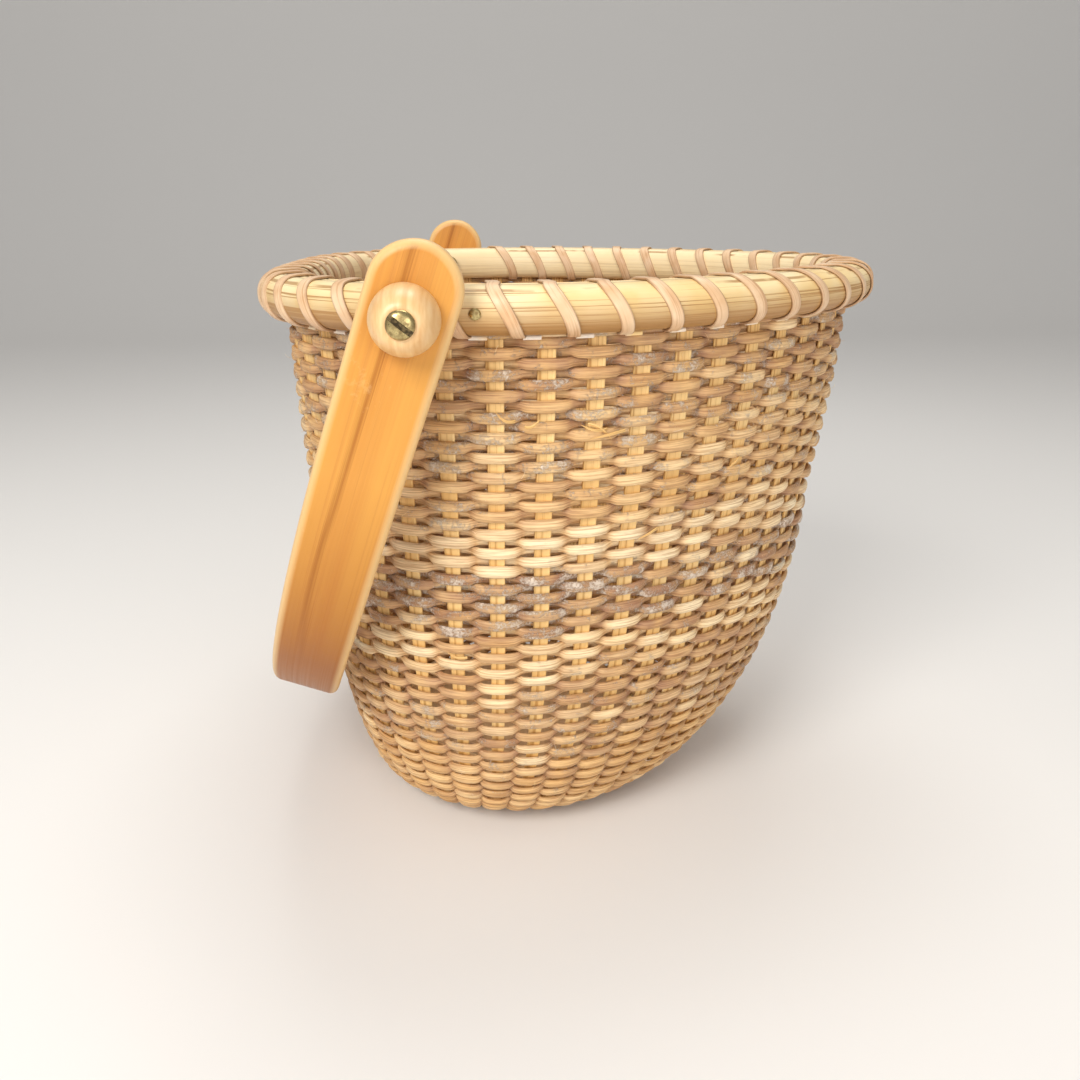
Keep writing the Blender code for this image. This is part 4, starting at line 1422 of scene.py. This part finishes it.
def fibre_tree():
    """Geometry tree that scatters short curved fibres over a woven surface."""
    tree, given, made = new_group(
        "scatter_fibres",
        "GeometryNodeTree",
        (
            ("Weave", "NodeSocketGeometry", None),
            ("Density", "NodeSocketFloat", 8000.0),
            ("Length", "NodeSocketFloat", 0.002),
            ("Thickness", "NodeSocketFloat", 0.00005),
            ("Seed", "NodeSocketInt", 1),
            ("Material", "NodeSocketMaterial", None),
        ),
        (("Fibres", "NodeSocketGeometry"),),
    )
    spread_points = add_node(
        tree,
        "GeometryNodeDistributePointsOnFaces",
        {"Mesh": given.outputs["Weave"], "Density": given.outputs["Density"], "Seed": given.outputs["Seed"]},
        distribute_method="RANDOM",
    )
    bow = add_node(
        tree,
        "GeometryNodeCurveQuadraticBezier",
        {"Resolution": 4, "Start": (0, 0, -0.05), "Middle": (0.5, 0.1, 0.45), "End": (1.0, 0.0, 0.2)},
    ).outputs[0]
    thread = add_node(tree, "GeometryNodeCurvePrimitiveCircle", {"Resolution": 3, "Radius": 0.02}).outputs[0]
    fibre = add_node(tree, "GeometryNodeCurveToMesh", {"Curve": bow, "Profile Curve": thread, "Fill Caps": True}).outputs[0]
    size = add_node(
        tree,
        "FunctionNodeRandomValue",
        {"Min": 0.4, "Max": 1.3, "Seed": given.outputs["Seed"]},
        data_type="FLOAT",
    )
    size.inputs[2].default_value, size.inputs[3].default_value = 0.35, 1.3
    scale = math_node(tree, "MULTIPLY", size.outputs[1], given.outputs["Length"])
    spin = add_node(tree, "FunctionNodeRandomValue", {"Seed": given.outputs["Seed"]}, data_type="FLOAT_VECTOR")
    spin.inputs[0].default_value, spin.inputs[1].default_value = (-0.5, -0.5, 0.0), (0.5, 0.5, 6.283)
    turned = add_node(
        tree,
        "FunctionNodeRotateRotation",
        {"Rotation": spread_points.outputs["Rotation"], "Rotate By": spin.outputs[0]},
        rotation_space="LOCAL",
    ).outputs[0]
    placed = add_node(
        tree,
        "GeometryNodeInstanceOnPoints",
        {"Points": spread_points.outputs["Points"], "Instance": fibre, "Rotation": turned, "Scale": scale},
    ).outputs[0]
    real = add_node(tree, "GeometryNodeRealizeInstances", {"Geometry": placed}).outputs[0]
    smooth = add_node(tree, "GeometryNodeSetShadeSmooth", {"Geometry": real}).outputs[0]
    finished = add_node(
        tree, "GeometryNodeSetMaterial", {"Geometry": smooth, "Material": given.outputs["Material"]}
    ).outputs[0]
    tree.links.new(finished, made.inputs[0])
    return tree


# Lifted splinters: stave, row, length in staves, rise and rows that they fall or climb
SPLINTERS = (
    (35.15, 9.3, 0.75, 1.5 * MM, 0.5),
    (34.35, 8.4, -0.5, 1.1 * MM, 1.6),
    (34.75, 9.0, 0.55, 1.9 * MM, -0.7),
    (32.9, 7.8, 0.35, 1.8 * MM, -1.0),
    (33.1, 8.4, -0.3, 1.4 * MM, -0.8),
    (36.2, 20.3, 0.5, 1.2 * MM, 0.8),
    (31.8, 33.4, 0.45, 1.0 * MM, -0.6),
    (38.4, 14.2, 0.4, 1.2 * MM, 0.9),
    (6.3, 12.5, 0.6, 1.4 * MM, 0.7),
    (20.6, 25.2, 0.5, 1.2 * MM, -0.8),
)


class BASKET_OT_fibres(bpy.types.Operator):
    """Scatters loose fibres and a few splinters over the weave"""

    bl_idname = "basket.fibres"
    bl_label = "Loose fibres"

    def execute(self, context):
        sizes = context.scene.basket_sizes
        fuzz = finish_of(context, "fibre_and_gap_light")
        path = Path()
        for stave, row, reach, rise, drift in SPLINTERS:
            for step in range(9):
                f = step / 8
                spot, out = wall_spot(angle_at(stave - reach * f), place_at(HOOP_HEIGHT + sizes.row_pitch * (row + drift * f * f)))
                off = -0.2 * MM + rise * math.sin(math.pi * min(1.0, f * 1.1) * 0.8)
                path.add(spot + out * off, out, 1 - 0.85 * f * f, 1 - 0.6 * f, (0.0, 0.8, 0.4), joined=step > 0)
        splinters = sweep("weave_splinters", path, finish_of(context, "splint"), 1.0 * MM, 0.22 * MM, 1.0, 0.8, 6)
        settle(splinters, "basket", "weaver_cane")
        tree = fibre_tree()
        for name, density in (("upper_weave", 5200.0), ("lower_weave", 4200.0)):
            source = bpy.data.objects[name]
            obj = link_object(name.split("_")[0] + "_fibres", source.data.copy())
            run_tree(obj, tree, Density=density, Length=2.2 * MM, Seed=sizes.seed, Material=fuzz)
            settle(obj, "basket", "weaver_cane")
        return {"FINISHED"}


# ---------------------------------------------------------------- stage


class BASKET_OT_stage(bpy.types.Operator):
    """Sets the pale floor and backdrop, the soft lamps and the camera"""

    bl_idname = "basket.stage"
    bl_label = "Stage"

    def execute(self, context):
        scene, stage = context.scene, context.scene.basket_stage
        material, tree, shader = new_material("backdrop")
        shader.inputs["Base Color"].default_value = opaque(stage.floor)
        shader.inputs["Roughness"].default_value = 0.9
        mesh = bpy.data.meshes.new("backdrop")
        profile = [(-3.0, 0.0), (1.2, 0.0)]
        profile += [(1.2 + 0.8 * math.sin(math.pi / 2 * k / 16), 0.8 * (1 - math.cos(math.pi / 2 * k / 16))) for k in range(1, 17)]
        profile.append((2.0, 4.0))
        points = [(x, y, z) for y, z in profile for x in (-4.0, 4.0)]
        faces = [(2 * k, 2 * k + 1, 2 * k + 3, 2 * k + 2) for k in range(len(profile) - 1)]
        mesh.from_pydata(points, [], faces)
        mesh.shade_smooth()
        mesh.materials.append(material)
        backdrop = link_object("backdrop", mesh)

        world = bpy.data.worlds.new("studio")
        scene.world = world
        world.use_nodes = True
        nodes = world.node_tree
        sky = nodes.nodes["Background"]
        sky.inputs["Color"].default_value = (1.0, 0.98, 0.95, 1.0)
        sky.inputs["Strength"].default_value = 0.38

        target = Vector((0.0, 0.0, 0.10))
        for name, spot, size, power, color in (
            ("key", (-0.45, -0.85, 0.75), 0.5, stage.key_power, (1.0, 0.97, 0.92)),
            ("fill", (0.45, -1.0, 0.32), 0.6, stage.fill_power, (1.0, 0.98, 0.96)),
            ("top", (0.05, 0.25, 0.95), 0.5, stage.top_power, (1.0, 0.97, 0.92)),
        ):
            lamp = bpy.data.lights.new(name, "AREA")
            lamp.size, lamp.energy, lamp.color = size, power, color
            holder = bpy.data.objects.new(name, lamp)
            holder.location = spot
            holder.rotation_euler = (target - Vector(spot)).to_track_quat("-Z", "Y").to_euler()
            holder.visible_camera = False
            scene.collection.objects.link(holder)

        camera = bpy.data.cameras.new("camera")
        camera.sensor_width, camera.lens = 36.0, stage.camera_lens
        camera.clip_start = 0.01
        holder = bpy.data.objects.new("camera", camera)
        holder.location = stage.camera_spot
        turn = Matrix.Rotation(stage.camera_yaw, 3, "Z") @ Matrix.Rotation(math.pi / 2 - stage.camera_pitch, 3, "X")
        holder.rotation_euler = (turn @ Matrix.Rotation(stage.camera_roll, 3, "Z")).to_euler()
        scene.collection.objects.link(holder)
        scene.camera = holder
        scene.view_settings.view_transform = "Standard"
        return {"FINISHED"}


# ---------------------------------------------------------------- add-on


OPERATORS = (
    BASKET_OT_weave,
    BASKET_OT_staves,
    BASKET_OT_base,
    BASKET_OT_hoops,
    BASKET_OT_lashing,
    BASKET_OT_handle,
    BASKET_OT_knobs,
    BASKET_OT_brass,
    BASKET_OT_fibres,
    BASKET_OT_stage,
)


class BASKET_PT_dresser(bpy.types.Panel):
    """Lists the steps that dress the basket"""

    bl_label = "Basket"
    bl_idname = "BASKET_PT_dresser"
    bl_space_type = "VIEW_3D"
    bl_region_type = "UI"
    bl_category = "Basket"

    def draw(self, context):
        for operator in OPERATORS:
            self.layout.operator(operator.bl_idname)


CLASSES = (BasketSizes, BasketColors, BasketStage, *OPERATORS, BASKET_PT_dresser)


def register():
    for cls in CLASSES:
        bpy.utils.register_class(cls)
    bpy.types.Scene.basket_sizes = bpy.props.PointerProperty(type=BasketSizes)
    bpy.types.Scene.basket_colors = bpy.props.PointerProperty(type=BasketColors)
    bpy.types.Scene.basket_stage = bpy.props.PointerProperty(type=BasketStage)


def unregister():
    for name in ("basket_sizes", "basket_colors", "basket_stage"):
        delattr(bpy.types.Scene, name)
    for cls in reversed(CLASSES):
        bpy.utils.unregister_class(cls)


def main():
    register()
    for step in ("weave", "staves", "base", "hoops", "lashing", "handle", "knobs", "brass", "fibres", "stage"):
        getattr(bpy.ops.basket, step)()


if __name__ == "__main__":
    main()
